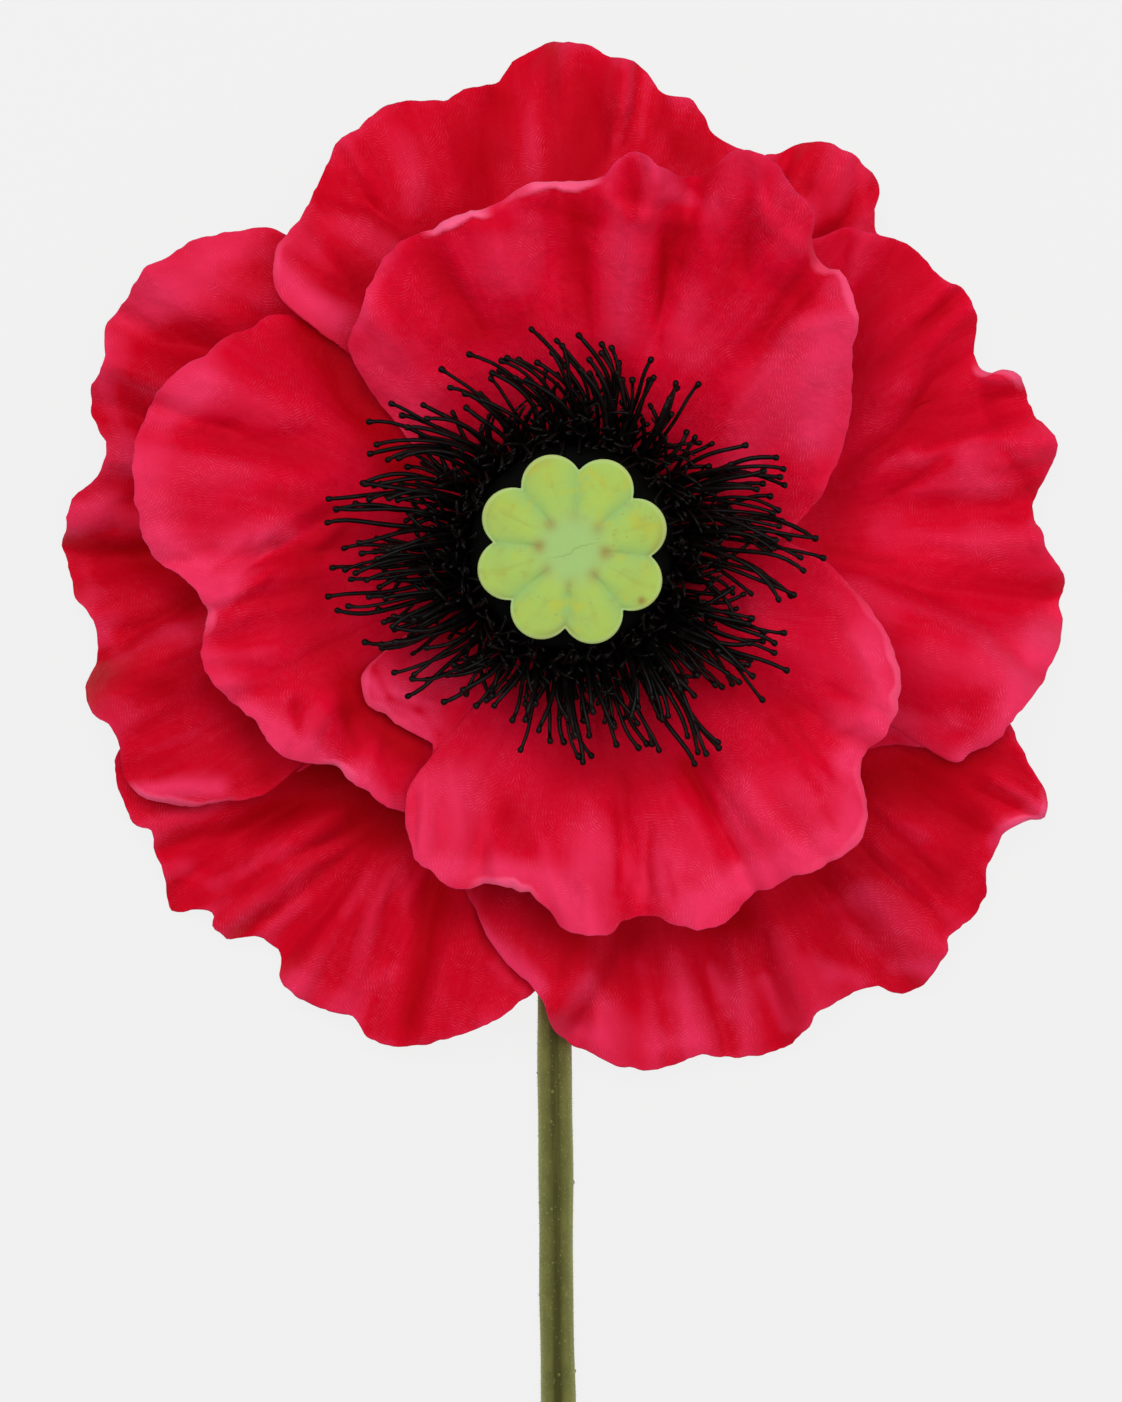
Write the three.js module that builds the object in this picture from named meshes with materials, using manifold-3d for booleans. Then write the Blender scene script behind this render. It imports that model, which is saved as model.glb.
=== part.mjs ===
// A cut poppy, laid on its back on a flat surface with its bloom facing up.
// Nine ruffled petals overlap in layers round a green receptacle. On it stand a brush of dark
// stamens and a seed capsule with an eight-lobed disc. The stem runs along the surface, towards
// -Y, and its neck bends up to the receptacle.
// Lengths are in millimetres and angles in degrees. Angle 0 is +X and angle 90 is +Y.

import * as THREE from 'three';
import { mergeVertices } from 'three/addons/utils/BufferGeometryUtils.js';
import Module from 'manifold-3d';

const wasm = await Module();
wasm.setup();

// Stem and receptacle
const stemDiameter = 4.2;
const stemReach = 180;
const stemEndOffset = -0.8;
const stemNeckOffset = -2.6;
const stemSides = 12;
const neckRadius = 7;
const neckStart = 9;
const neckSteps = 8;
const receptacleRadius = 4.9;
const receptacleBase = 8;
const receptacleTop = 16.4;

// Petals
const petalThickness = 0.7;
const petalRoot = 5.3;
const rootLayerGap = 1.2;
const layerGap = 2;
const layerGapRadius = 25;
const layerMargin = 1.6;
const layerFall = 0.25;
const layerSoftness = 0.8;
const groundHeight = 0.2;
const columnWidth = 3.5;
const petalRows = 7;
const rootShare = 0.66;
const ruffleFade = 6;
const rimOvershoot = 1.15;

// Stamens
const stamenSeed = 11;
const filamentRadius = 0.32;
const knobRadius = 0.52;
const stamenBend = 5;
const brushStretch = 0.065;
const petalClearance = 1.5;
const collarSides = 32;
const pieceGap = 0.3;

// Ring that the stamens stand on: [radius, height above its foot]
const collarProfile = [[4.3, 0], [9.2, 0.8], [9.6, 1.3], [8.9, 2], [5.1, 1.8], [4.3, 1.3], [4.3, 0]];

// Stamens in tiers, from the flat outer ones to the steep ones beside the capsule.
// spring: below 1, the filaments rise steeply out of the ring before they lean outwards.
const stamenTiers = [
  { count: 38, rootRadius: 8.4, rootRise: 1.1, reach: 27, spread: 1.4, tipHeight: 25.5, spring: 1 },
  { count: 34, rootRadius: 8.4, rootRise: 1.4, reach: 22.5, spread: 1.8, tipHeight: 28, spring: 0.8 },
  { count: 24, rootRadius: 8.4, rootRise: 1.5, reach: 16.6, spread: 1.1, tipHeight: 29.5, spring: 0.4 },
];

// Seed capsule. The lobes are circles that overlap round the disc.
const discLobes = 8;
const lobeCentre = 7.8;
const lobeRadius = 3.6;
const lobeSegments = 8;
const discTurn = 17.5;
const discTop = 33;

// Body below the disc: [radius, height above its foot]
const capsuleBody = [
  [3.9, 0], [3.9, 1.7], [7.7, 3.5], [11.3, 6.4], [11.9, 8.9], [11.4, 11.3], [9.1, 12.9],
];

// Disc, from its underside to its middle: [share of the lobed outline, depth below the top, groove depth]
const discRings = [
  [0.88, 2.8, 0], [1, 2.4, 0], [1, 1.5, 0], [0.94, 0.8, 0.4], [0.75, 0.4, 0.5], [0.5, 0.4, 0.3],
  [0.3, 0.7, 0],
];

const petalRed = 0xd0143a;
const stamenBlack = 0x15110f;
const capsuleGreen = 0xa9c653;
const stemGreen = 0x65692c;

// Petals from the lowest layer to the highest.
// rim: [angle, reach] round the free edge. lift: [angle, height] of that edge.
// ruffle: [angle, rise] of its waves, which fade towards the middle.
// folds: [root angle, rim angle, start radius, end radius, half width, rise].
const petals = [
  {
    name: 'petal_outer_top_right',
    rootHeight: 9.4,
    bowl: 1.6,
    rim: [
      [22, 30], [28, 41], [38, 48], [44.9, 51.6], [46.4, 52], [49.7, 56.2], [57.4, 57],
      [64.7, 51.1], [80, 44], [86, 30],
    ],
    lift: [[22, 7], [40, 5], [55, 5], [75, 5], [90, 8]],
    ruffle: [[44, 0], [49, -1], [55, 1], [61, -1], [66, 0]],
    folds: [[56, 55, 34, 60, 2.2, 1.2], [60, 62, 38, 60, 1.8, -1]],
  },
  {
    name: 'petal_outer_bottom_left',
    rootHeight: 9.8,
    bowl: 1.5,
    rim: [
      [193, 36], [198, 50], [205.7, 60.1], [212.6, 60.9], [213.8, 60], [215.4, 60.9], [217.5, 61.3],
      [221.3, 63.6], [222.8, 63.4], [223.7, 61.5], [225.6, 60.5], [226.3, 61.5], [228.2, 61.6],
      [231.2, 58.8], [233.6, 58.8], [236.3, 61.7], [244.7, 61.3], [248.2, 62.6], [255, 60.2],
      [265.9, 51.7], [269.5, 46], [273, 32],
    ],
    lift: [[193, 9], [205, 5], [215, 2.5], [235, 2.5], [250, 4], [262, 8], [273, 10]],
    ruffle: [
      [200, 0], [207, -1.5], [214, 1.5], [221, -1.5], [227, 1.5], [232, -1.5], [237, 1.5],
      [243, -1.5], [249, 1.5], [256, -1], [262, 0],
    ],
    folds: [
      [216, 214, 34, 62, 2, 1], [222, 221, 32, 62, 2, -1], [228, 227, 32, 62, 2, 1],
      [234, 235, 30, 62, 2, -1], [240, 242, 30, 62, 2, 1], [246, 249, 30, 62, 2, -1],
      [252, 256, 30, 60, 2, 1],
    ],
  },
  {
    name: 'petal_outer_bottom_right',
    rootHeight: 10,
    bowl: 1.4,
    rim: [
      [250, 30], [252.5, 41.6], [259.6, 48.3], [266.2, 53.3], [268.1, 57.1], [274.8, 61.2],
      [279.1, 62.3], [284.5, 61.7], [286.2, 62.5], [292.7, 64.1], [298.1, 62.1], [304.4, 62.6],
      [307.1, 65.7], [313.2, 64.9], [314.8, 63.7], [317.5, 64.5], [320.5, 63.6], [321.7, 62.3],
      [326.4, 61], [329.4, 62.8], [330.6, 64.2], [332.9, 62.9], [334.8, 59.8], [338.4, 55.6],
      [342, 49], [346, 34],
    ],
    lift: [[250, 11], [262, 9], [272, 6.5], [290, 3.5], [305, 3], [320, 4], [332, 7], [346, 9]],
    ruffle: [
      [262, 0.8], [268, -1.5], [274, 1], [279, -1.5], [286, 1.5], [292, -2], [299, 1.6],
      [306, -1.8], [313, 1.6], [320, -1.6], [326, 1.5], [331, -1.2], [336, 0],
    ],
    folds: [
      [266, 263, 40, 56, 2, 0.9], [272, 270, 38, 60, 2, -1.2], [282, 279, 38, 62, 2.2, 1],
      [290, 287, 38, 62, 2.4, -1.2], [300, 297, 38, 62, 2.4, 1.1], [306, 303, 40, 62, 2, -1],
      [322, 318, 40, 62, 2.4, 1], [328, 325, 40, 62, 2.4, -1.2],
    ],
  },
  {
    name: 'petal_outer_right',
    rootHeight: 10.2,
    bowl: 1.4,
    rim: [
      [-39, 28], [-33.9, 42.1], [-32.5, 43.1], [-28.9, 48.9], [-29.3, 50.1], [-28.8, 52],
      [-27.1, 52.8], [-23.7, 55.2], [-22.3, 55.2], [-17.2, 57.2], [-9.3, 59], [-6, 58],
      [-3.6, 58.5], [-0.1, 56.2], [5.1, 54.7], [12.1, 58.5], [18, 56.5], [19.2, 57], [22.6, 55.3],
      [22.9, 53.3], [25.5, 52.7], [30.5, 55.2], [34.6, 55.2], [35.2, 54.6], [42.6, 53.4],
      [49.3, 50], [51.7, 46.8], [54.5, 44], [57, 32],
    ],
    lift: [[-39, 11], [-28, 8], [-15, 5], [0, 4], [15, 5.5], [30, 7], [45, 9], [57, 12]],
    ruffle: [
      [-34, 0], [-28, -1.5], [-22, 1.8], [-14, 0.5], [-7, -5.5], [0, 1.5], [6, -1.5], [12, 1.5],
      [18, -1.2], [24, 2], [29, -1.5], [35, 1.5], [42, -1.2], [49, 0.5],
    ],
    folds: [
      [-22, -24, 30, 58, 3, 1], [-10, -12, 28, 58, 2.6, 0.8], [8, 5, 30, 58, 2.4, -1],
      [16, 14, 30, 58, 2.4, 1], [24, 25, 30, 56, 2, -1.3], [31, 31, 28, 56, 2.4, 1],
      [38, 39, 28, 54, 2.2, -1.2], [46, 46, 30, 54, 2.4, 0.8],
    ],
  },
  {
    name: 'petal_outer_left',
    rootHeight: 10.2,
    bowl: 1.4,
    rim: [
      [121, 30], [126, 42], [132.2, 49.9], [133.3, 52], [141.3, 57.8], [144.5, 59], [146.2, 60],
      [150.5, 60.3], [154.7, 61], [157.1, 59.8], [159.9, 59.5], [161.1, 59.9], [164.1, 59],
      [167.4, 56.3], [170.5, 56.5], [174.8, 59.5], [178.1, 59.9], [179.6, 60.4], [182.2, 59.6],
      [185, 59.2], [188.7, 57.1], [192.6, 57.4], [197, 60.1], [200.5, 58.6], [203.3, 58.2],
      [208.8, 59], [213.6, 54.8], [215.3, 51.6], [218.4, 46.7], [219, 40.1], [222, 30],
    ],
    lift: [[121, 12], [135, 10], [150, 8], [170, 5.5], [190, 3.4], [205, 5.5], [215, 8], [222, 11]],
    ruffle: [
      [130, 0], [140, 1], [147, 1.5], [153, -1.8], [158, 1.2], [163, -1.4], [168, 1.4], [173, -1],
      [177, 1.2], [182, -7], [188, 1.2], [195, -2.5], [202, 1], [209, 1.8], [215, 0],
    ],
    folds: [
      [150, 152, 38, 60, 2.6, -1.4], [157, 159, 38, 60, 2, 0.8], [162, 163.5, 40, 60, 1.8, -1],
      [168, 170, 40, 60, 2, 0.9], [180, 180, 38, 60, 1.8, -1.3], [187, 188, 40, 60, 2.6, 0.8],
      [196, 195, 36, 60, 2.2, -1.2], [208, 207, 42, 58, 1.6, -0.8],
    ],
  },
  {
    name: 'petal_inner_left',
    rootHeight: 12.4,
    bowl: 1.3,
    rim: [
      [132, 28], [136, 36], [141.8, 44.6], [145.8, 46], [149.4, 48], [159.5, 51.9], [166.3, 52.7],
      [179.5, 49.8], [189.6, 43.3], [196.4, 45.3], [200, 45.1], [208.4, 42.4], [215.3, 41.9],
      [223.3, 37.6], [234.5, 37.4], [238.6, 36.2], [242, 33], [247, 24],
    ],
    lift: [
      [132, 13], [142, 15.5], [155, 20], [170, 22], [190, 22], [210, 21], [230, 19], [247, 16],
    ],
    ruffle: [
      [145, -0.5], [153, 1], [164, 0.5], [172, 1], [181, -1.2], [188, 1.2], [195, -0.8], [202, 1.2],
      [209, -1], [216, 1], [222, -1.2], [229, 0.8], [236, -0.5],
    ],
    folds: [
      [154, 157, 30, 53, 3, 0.8], [160, 165, 28, 50, 2, -1.4], [184, 187, 24, 46, 1.6, 1.2],
      [180, 182, 24, 47, 1.4, -1], [190, 192, 24, 45, 1.6, 1], [202, 205, 26, 44, 1.8, -1],
      [212, 214, 26, 43, 1.8, 0.8],
    ],
  },
  {
    name: 'petal_outer_top',
    rootHeight: 10.4,
    bowl: 1.6,
    rim: [
      [56, 30], [60, 42], [64.7, 51.1], [71.4, 51.8], [75.3, 54.9], [79.4, 55.3], [80.3, 56.3],
      [83.9, 58.5], [85.6, 58.2], [87.4, 59.3], [91.9, 60.2], [96.9, 58.4], [99.7, 55.9],
      [102.7, 56], [105.4, 55.2], [107.5, 55.8], [113.8, 56.7], [116.6, 55.8], [120.1, 55.4],
      [130.4, 50.1], [134.5, 49.5], [138.3, 46.8], [138.7, 39.9], [135.1, 36.6], [135, 33],
      [132, 26],
    ],
    lift: [[56, 10], [68, 9], [80, 7], [95, 4.4], [110, 6.5], [122, 10], [132, 16], [141, 18]],
    ruffle: [
      [66, 0.5], [72, -1.5], [77, 1], [81, -1.2], [88, 1.8], [96, -7], [103, 1.4], [112, -1],
      [119, 1.2], [127, -0.8], [135, 0.5],
    ],
    folds: [
      [72, 70, 46, 56, 1.8, -1], [78, 76, 44, 57, 1.8, 0.8], [84, 84, 42, 60, 1.6, 1.4],
      [88.5, 89, 42, 60, 2.6, -1.2], [95, 96.5, 40, 58, 2.4, 0.9], [103, 105, 40, 56, 3, -1.4],
      [113, 114, 40, 57, 3, 1], [122, 124, 40, 52, 2, -1], [130, 133, 38, 50, 2.4, 0.8],
    ],
  },
  {
    name: 'petal_inner_bottom',
    rootHeight: 12.8,
    bowl: 1.3,
    rim: [
      [207, 21], [211.2, 28.7], [216.1, 30.1], [234.7, 28.4], [236.1, 29.6], [235.9, 34.3],
      [244.5, 41.3], [246.4, 41.3], [250.1, 42.3], [256.2, 40.5], [263, 40.4], [268.6, 44.5],
      [274.9, 45.6], [278.2, 44], [282.8, 44.2], [285.7, 46.1], [290.1, 47.5], [298.6, 45.8],
      [303.9, 46.2], [306.2, 47.2], [312.2, 48], [318.1, 46.5], [322.3, 42.6], [325.8, 41.8],
      [327.9, 42.6], [335.9, 42.1], [342.4, 39.5], [356.8, 29.9], [362, 25],
    ],
    lift: [
      [207, 21], [222, 22.5], [236, 21.5], [250, 22], [270, 22.5], [290, 23], [315, 24.5],
      [340, 24], [362, 19],
    ],
    ruffle: [
      [212, 0.8], [220, -0.5], [229, 1], [236, -0.8], [243, 0.8], [250, -0.8], [257, 1.5],
      [265, -0.8], [273, 1.2], [281, -1.4], [288, 1.2], [298, -0.8], [308, 1.2], [316, 1],
      [324, -1.6], [332, 1], [345, 0.5],
    ],
    folds: [
      [252, 253, 26, 42, 2.4, -0.9], [262, 262, 26, 41, 2, 0.8], [274, 272, 24, 45, 2.4, 0.7],
      [283, 280, 22, 45, 1.6, -1.1], [300, 297, 22, 46, 2, -1.1], [307, 305, 24, 47, 2, 0.8],
      [325, 325, 26, 43, 2, -0.9],
    ],
  },
  {
    name: 'petal_inner_top',
    rootHeight: 13,
    bowl: 1.4,
    rim: [
      [-2, 18], [3, 24.5], [17.7, 32.7], [28.2, 37.2], [35.6, 40.3], [38.7, 42.8], [45.7, 45],
      [48.8, 44.1], [51.7, 44.9], [54.2, 48.2], [59, 49.4], [62.9, 50.8], [67.4, 50.1],
      [70.6, 46.3], [75.5, 45.2], [80.4, 46.8], [83.2, 45.6], [85.6, 43.3], [98.3, 42.5],
      [102.2, 41.2], [110.5, 41.1], [113.4, 40.6], [116.3, 41], [124.5, 40], [132.4, 36.9],
      [137.4, 35.6], [147, 21.7], [147, 18],
    ],
    lift: [[-2, 20], [15, 25], [35, 29], [60, 30.5], [85, 30], [110, 28], [130, 25], [147, 19]],
    ruffle: [
      [20, 0.5], [36, 1], [44, 1.2], [50, -1.6], [56, 1], [64, 1.8], [71, -1.6], [79, 1.6],
      [86, -1.4], [96, 1], [105, -0.6], [115, 0.8], [126, -0.4], [138, 0.4],
    ],
    folds: [
      [34, 39, 24, 46, 2.4, 1], [46, 49, 26, 46, 1.8, -1.3], [58, 63, 28, 50, 2, -1],
      [68, 72, 26, 47, 1.6, -1.4], [76, 78, 26, 47, 2.2, 1.2], [90, 91, 26, 43, 2.2, -1.2],
      [104, 106, 26, 42, 2.6, 0.9], [114, 117, 26, 41, 2, -1.1], [126, 130, 26, 38, 2.4, 0.8],
    ],
  },
];

const radians = (degrees) => degrees * Math.PI / 180;

function polar(angle, radius) {
  return [radius * Math.cos(radians(angle)), radius * Math.sin(radians(angle))];
}

// Value of a table of [angle, value] rows, eased from each row to the next
function easedValue(rows, angle) {
  if (angle <= rows[0][0]) return rows[0][1];
  for (let i = 1; i < rows.length; i += 1) {
    const [start, before] = rows[i - 1];
    const [end, after] = rows[i];
    if (angle <= end) return before + (after - before) * THREE.MathUtils.smoothstep(angle, start, end);
  }
  return rows[rows.length - 1][1];
}

// Closed body from its points and triangles
function solidFrom(points, faces) {
  const geometry = new THREE.BufferGeometry();
  geometry.setAttribute('position', new THREE.Float32BufferAttribute(points.flat(), 3));
  geometry.setIndex(faces.flat());
  return geometry;
}

// Body through rings of points, with flat ends
function loft(rings) {
  const points = rings.flat();
  const sides = rings[0].length;
  const faces = [];
  for (let ring = 0; ring < rings.length - 1; ring += 1) {
    for (let i = 0; i < sides; i += 1) {
      const a = ring * sides + i;
      const b = ring * sides + (i + 1) % sides;
      faces.push([a, b, b + sides], [a, b + sides, a + sides]);
    }
  }
  const last = points.length - sides;
  for (let i = 1; i < sides - 1; i += 1) {
    faces.push([0, i + 1, i], [last, last + i, last + i + 1]);
  }
  return solidFrom(points, faces);
}

function toSolid(geometry) {
  const bare = geometry.clone();
  bare.deleteAttribute('normal');
  bare.deleteAttribute('uv');
  const merged = mergeVertices(bare, 1e-4);
  return new wasm.Manifold(new wasm.Mesh({
    numProp: 3,
    vertProperties: new Float32Array(merged.attributes.position.array),
    triVerts: new Uint32Array(merged.index.array),
  }));
}

function toGeometry(solid) {
  const mesh = solid.getMesh();
  const geometry = new THREE.BufferGeometry();
  geometry.setAttribute('position', new THREE.BufferAttribute(mesh.vertProperties, 3));
  geometry.setIndex(new THREE.BufferAttribute(mesh.triVerts, 1));
  return geometry;
}

// Points evenly spaced along a petal's free edge, each as [angle, reach]
function rimPoints(petal) {
  const corners = petal.rim.map(([angle, reach]) => new THREE.Vector3(...polar(angle, reach), 0));
  const curve = new THREE.CatmullRomCurve3(corners, false, 'centripetal');
  const columns = Math.round(curve.getLength() / columnWidth);
  const middle = (petal.rim[0][0] + petal.rim[petal.rim.length - 1][0]) / 2;
  return curve.getSpacedPoints(columns).map((point) => {
    const turn = THREE.MathUtils.radToDeg(Math.atan2(point.y, point.x)) - middle;
    return [middle + turn - 360 * Math.round(turn / 360), Math.hypot(point.x, point.y)];
  });
}

for (const petal of petals) {
  petal.edge = rimPoints(petal);
  petal.middle = (petal.edge[0][0] + petal.edge[petal.edge.length - 1][0]) / 2;
  petal.reach = Math.max(...petal.edge.map((point) => point[1]));
  const rootArc = petal.edge.map(([angle]) => polar(rootAngle(petal, angle), petalRoot)).reverse();
  petal.outline = [...petal.edge.map((point) => polar(...point)), ...rootArc];
}

function rootAngle(petal, angle) {
  return petal.middle + (angle - petal.middle) * rootShare;
}

// Distance from a point to a petal's outline seen from above, 0 inside it
function distanceOutside(outline, x, y) {
  let inside = false;
  let nearest = Infinity;
  for (let i = 0; i < outline.length; i += 1) {
    const [ax, ay] = outline[i];
    const [bx, by] = outline[(i + 1) % outline.length];
    if ((ay > y) !== (by > y) && x < (bx - ax) * (y - ay) / (by - ay) + ax) inside = !inside;
    const span = (bx - ax) ** 2 + (by - ay) ** 2;
    const share = span ? ((x - ax) * (bx - ax) + (y - ay) * (by - ay)) / span : 0;
    const along = THREE.MathUtils.clamp(share, 0, 1);
    nearest = Math.min(nearest, Math.hypot(ax + along * (bx - ax) - x, ay + along * (by - ay) - y));
  }
  return inside ? 0 : nearest;
}

// Height of a petal before it is laid over the ones below
function freeHeight(petal, x, y) {
  const radius = Math.hypot(x, y);
  const turn = THREE.MathUtils.radToDeg(Math.atan2(y, x)) - petal.middle;
  const angle = petal.middle + turn - 360 * Math.round(turn / 360);
  const share = Math.min(radius / petal.reach, rimOvershoot);
  const rise = easedValue(petal.lift, angle) - petal.rootHeight;
  let height = petal.rootHeight + rise * share ** petal.bowl;
  height += easedValue(petal.ruffle, angle) * share ** ruffleFade;
  for (const [rootTurn, rimTurn, start, end, width, foldRise] of petal.folds) {
    const along = (radius - start) / (end - start);
    const offset = radians(angle - rootTurn - (rimTurn - rootTurn) * along) * radius;
    const strength = THREE.MathUtils.smoothstep(radius, start, (start + end) / 2);
    height += foldRise * strength * Math.exp(-((offset / width) ** 2));
  }
  return height;
}

// Fall of a lower layer's influence with the distance from its edge
const fall = (distance) => layerFall * Math.max(0, distance - layerMargin) ** 2;

const softMax = (a, b) => (a + b + Math.hypot(a - b, layerSoftness)) / 2;

// Sideways place of the stem, which runs straight from its cut end to its neck
function stemMiddle(y) {
  const share = THREE.MathUtils.clamp((y + stemReach) / (stemReach - neckStart), 0, 1);
  return THREE.MathUtils.lerp(stemEndOffset, stemNeckOffset, share);
}

// Heights of all petals at a point, each resting clear over the stem and the petals below it
function layerHeights(x, y) {
  const beside = Math.max(Math.abs(x - stemMiddle(y)) - stemDiameter / 2, y + neckRadius, 0);
  const supports = [stemDiameter - petalThickness / 2 - fall(beside)];
  const radius = Math.min(Math.hypot(x, y), layerGapRadius);
  const gap = THREE.MathUtils.mapLinear(radius, petalRoot, layerGapRadius, rootLayerGap, layerGap);
  const heights = [];
  for (const petal of petals) {
    const floor = Math.max(...supports) + gap;
    const height = Math.max(softMax(freeHeight(petal, x, y), floor), groundHeight);
    heights.push(height);
    supports.push(height - fall(distanceOutside(petal.outline, x, y)));
  }
  return { heights, top: Math.max(...supports) };
}

function petalGeometry(index) {
  const petal = petals[index];
  const columns = petal.edge.length;
  const middle = [];
  for (let row = 0; row <= petalRows; row += 1) {
    const share = row / petalRows;
    for (const [rimAngle, reach] of petal.edge) {
      const start = rootAngle(petal, rimAngle);
      const angle = start + (rimAngle - start) * (1 - (1 - share) ** 2);
      const [x, y] = polar(angle, petalRoot + (reach - petalRoot) * share);
      middle.push(new THREE.Vector3(x, y, layerHeights(x, y).heights[index]));
    }
  }
  const at = (row, column) => row * columns + column;
  const faces = [];
  for (let row = 0; row < petalRows; row += 1) {
    for (let column = 0; column < columns - 1; column += 1) {
      const [a, b] = [at(row, column), at(row + 1, column)];
      faces.push([a, b, b + 1], [a, b + 1, a + 1]);
    }
  }
  const sheet = solidFrom(middle.map((point) => point.toArray()), faces);
  sheet.computeVertexNormals();
  const normals = sheet.attributes.normal;
  const offset = (point, i, side) => {
    const moved = point.clone().addScaledVector(new THREE.Vector3().fromBufferAttribute(normals, i), side);
    return [moved.x, moved.y, Math.max(moved.z, side > 0 ? petalThickness : 0)];
  };
  const half = petalThickness / 2;
  const upper = middle.map((point, i) => offset(point, i, half));
  const lower = middle.map((point, i) => offset(point, i, -half));
  const count = middle.length;
  const border = [];
  for (let column = 0; column < columns - 1; column += 1) border.push(at(0, column));
  for (let row = 0; row < petalRows; row += 1) border.push(at(row, columns - 1));
  for (let column = columns - 1; column > 0; column -= 1) border.push(at(petalRows, column));
  for (let row = petalRows; row > 0; row -= 1) border.push(at(row, 0));
  const walls = border.flatMap((a, i) => {
    const b = border[(i + 1) % border.length];
    return [[a, b + count, a + count], [a, b, b + count]];
  });
  const under = faces.map(([a, b, c]) => [a + count, c + count, b + count]);
  return solidFrom([...upper, ...lower], [...faces, ...under, ...walls]);
}

// Repeatable random numbers between 0 and 1
function randomSource(seed) {
  let state = seed;
  return () => {
    state = (state * 1664525 + 1013904223) % 4294967296;
    return state / 4294967296;
  };
}

// A filament along its path, three-sided, with a knob at its tip
function stamenGeometry(path) {
  const curve = new THREE.CatmullRomCurve3(path);
  const knob = knobRadius / filamentRadius;
  const stations = [[0, 1], [0.38, 1], [0.94, 0.9], [0.975, knob], [1, 0.9]];
  const rings = stations.map(([share, swell]) => {
    const centre = curve.getPointAt(share);
    const tangent = curve.getTangentAt(share);
    const across = new THREE.Vector3(0, 0, 1).cross(tangent).normalize();
    const above = tangent.clone().cross(across);
    return [0, 1, 2].map((corner) => {
      const turn = radians(90 + 120 * corner);
      return centre.clone()
        .addScaledVector(across, filamentRadius * swell * Math.cos(turn))
        .addScaledVector(above, filamentRadius * swell * Math.sin(turn))
        .toArray();
    });
  });
  return loft(rings);
}

// Middle line of a stamen from the ring to its tip, clear over the petals
function stamenPath(tier, angle, tip, bend) {
  const foot = receptacleTop + pieceGap + tier.rootRise;
  return [0, 0.12, 0.35, 0.65, 1].map((share) => {
    const radius = tier.rootRadius + (tip - tier.rootRadius) * share ** tier.spring;
    const [x, y] = polar(angle + bend * share * share, radius);
    const free = foot + (tier.tipHeight - foot) * Math.sin(share * Math.PI / 2);
    const clear = share ? layerHeights(x, y).top + petalClearance : 0;
    return new THREE.Vector3(x, y, Math.max(free, clear));
  });
}

function stamens() {
  const random = randomSource(stamenSeed);
  const foot = receptacleTop + pieceGap;
  const outline = collarProfile.map(([radius, height]) => new THREE.Vector2(radius, foot + height));
  let bunch = toSolid(new THREE.LatheGeometry(outline, collarSides).rotateX(Math.PI / 2));
  for (const tier of stamenTiers) {
    for (let i = 0; i < tier.count; i += 1) {
      const angle = (i + 0.5 * random()) * 360 / tier.count;
      const wide = 1 + brushStretch * Math.cos(radians(2 * angle));
      const tip = tier.reach * wide + tier.spread * (2 * random() - 1);
      const bend = stamenBend * (2 * random() - 1);
      bunch = bunch.add(toSolid(stamenGeometry(stamenPath(tier, angle, tip, bend))));
    }
  }
  return toGeometry(bunch);
}

function seedCapsule() {
  const foot = receptacleTop + pieceGap;
  const segments = discLobes * lobeSegments;
  const turns = Array.from({ length: segments }, (_, i) => i * 360 / segments);
  const bodyRings = capsuleBody.map(([radius, height]) => (
    turns.map((turn) => [...polar(turn + discTurn, radius), foot + height])
  ));
  const lobeStep = 360 / discLobes;
  const lobedRings = discRings.map(([share, depth, grooveDepth]) => turns.map((turn) => {
    const offset = (turn + lobeStep / 2) % lobeStep - lobeStep / 2;
    const aside = lobeCentre * Math.sin(radians(offset));
    const reach = lobeCentre * Math.cos(radians(offset)) + Math.sqrt(lobeRadius ** 2 - aside ** 2);
    const groove = grooveDepth * Math.abs(2 * offset / lobeStep) ** 2;
    return [...polar(turn + discTurn, share * reach), discTop - depth - groove];
  }));
  return loft([...bodyRings, ...lobedRings]);
}

function stem() {
  const level = stemDiameter / 2 * Math.cos(Math.PI / stemSides);
  const start = new THREE.Vector3(stemEndOffset, -stemReach, level);
  const bendStart = new THREE.Vector3(stemNeckOffset, -neckStart, level);
  const bendEnd = new THREE.Vector3(0, 0, level + neckRadius);
  const straight = new THREE.LineCurve3(start, bendStart);
  const neck = new THREE.CubicBezierCurve3(
    bendStart,
    new THREE.Vector3(stemNeckOffset * 0.5, -neckRadius * 0.35, level),
    new THREE.Vector3(0, 0, level + neckRadius * 0.3),
    bendEnd,
  );
  const section = new THREE.Shape(Array.from({ length: stemSides }, (_, i) => {
    const turn = (i + 0.5) * 360 / stemSides;
    return new THREE.Vector2(...polar(turn, stemDiameter / 2));
  }));
  const tubes = [[straight, 1], [neck, neckSteps]].map(([extrudePath, steps]) => (
    toSolid(new THREE.ExtrudeGeometry(section, { steps, extrudePath }))
  ));
  const profile = [
    [0, receptacleBase], [stemDiameter / 2 + 0.2, receptacleBase],
    [receptacleRadius - 0.4, receptacleBase + 1.2], [receptacleRadius, receptacleBase + 2],
    [receptacleRadius, receptacleTop - 0.6],
    [receptacleRadius - 0.6, receptacleTop], [0, receptacleTop],
  ];
  const receptacle = new THREE.LatheGeometry(profile.map((point) => new THREE.Vector2(...point)), 24);
  return toGeometry(tubes[0].add(tubes[1]).add(toSolid(receptacle.rotateX(Math.PI / 2))));
}

function piece(name, geometry, color, roughness) {
  const mesh = new THREE.Mesh(geometry, new THREE.MeshStandardMaterial({ color, roughness, metalness: 0 }));
  mesh.name = name;
  return mesh;
}

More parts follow.
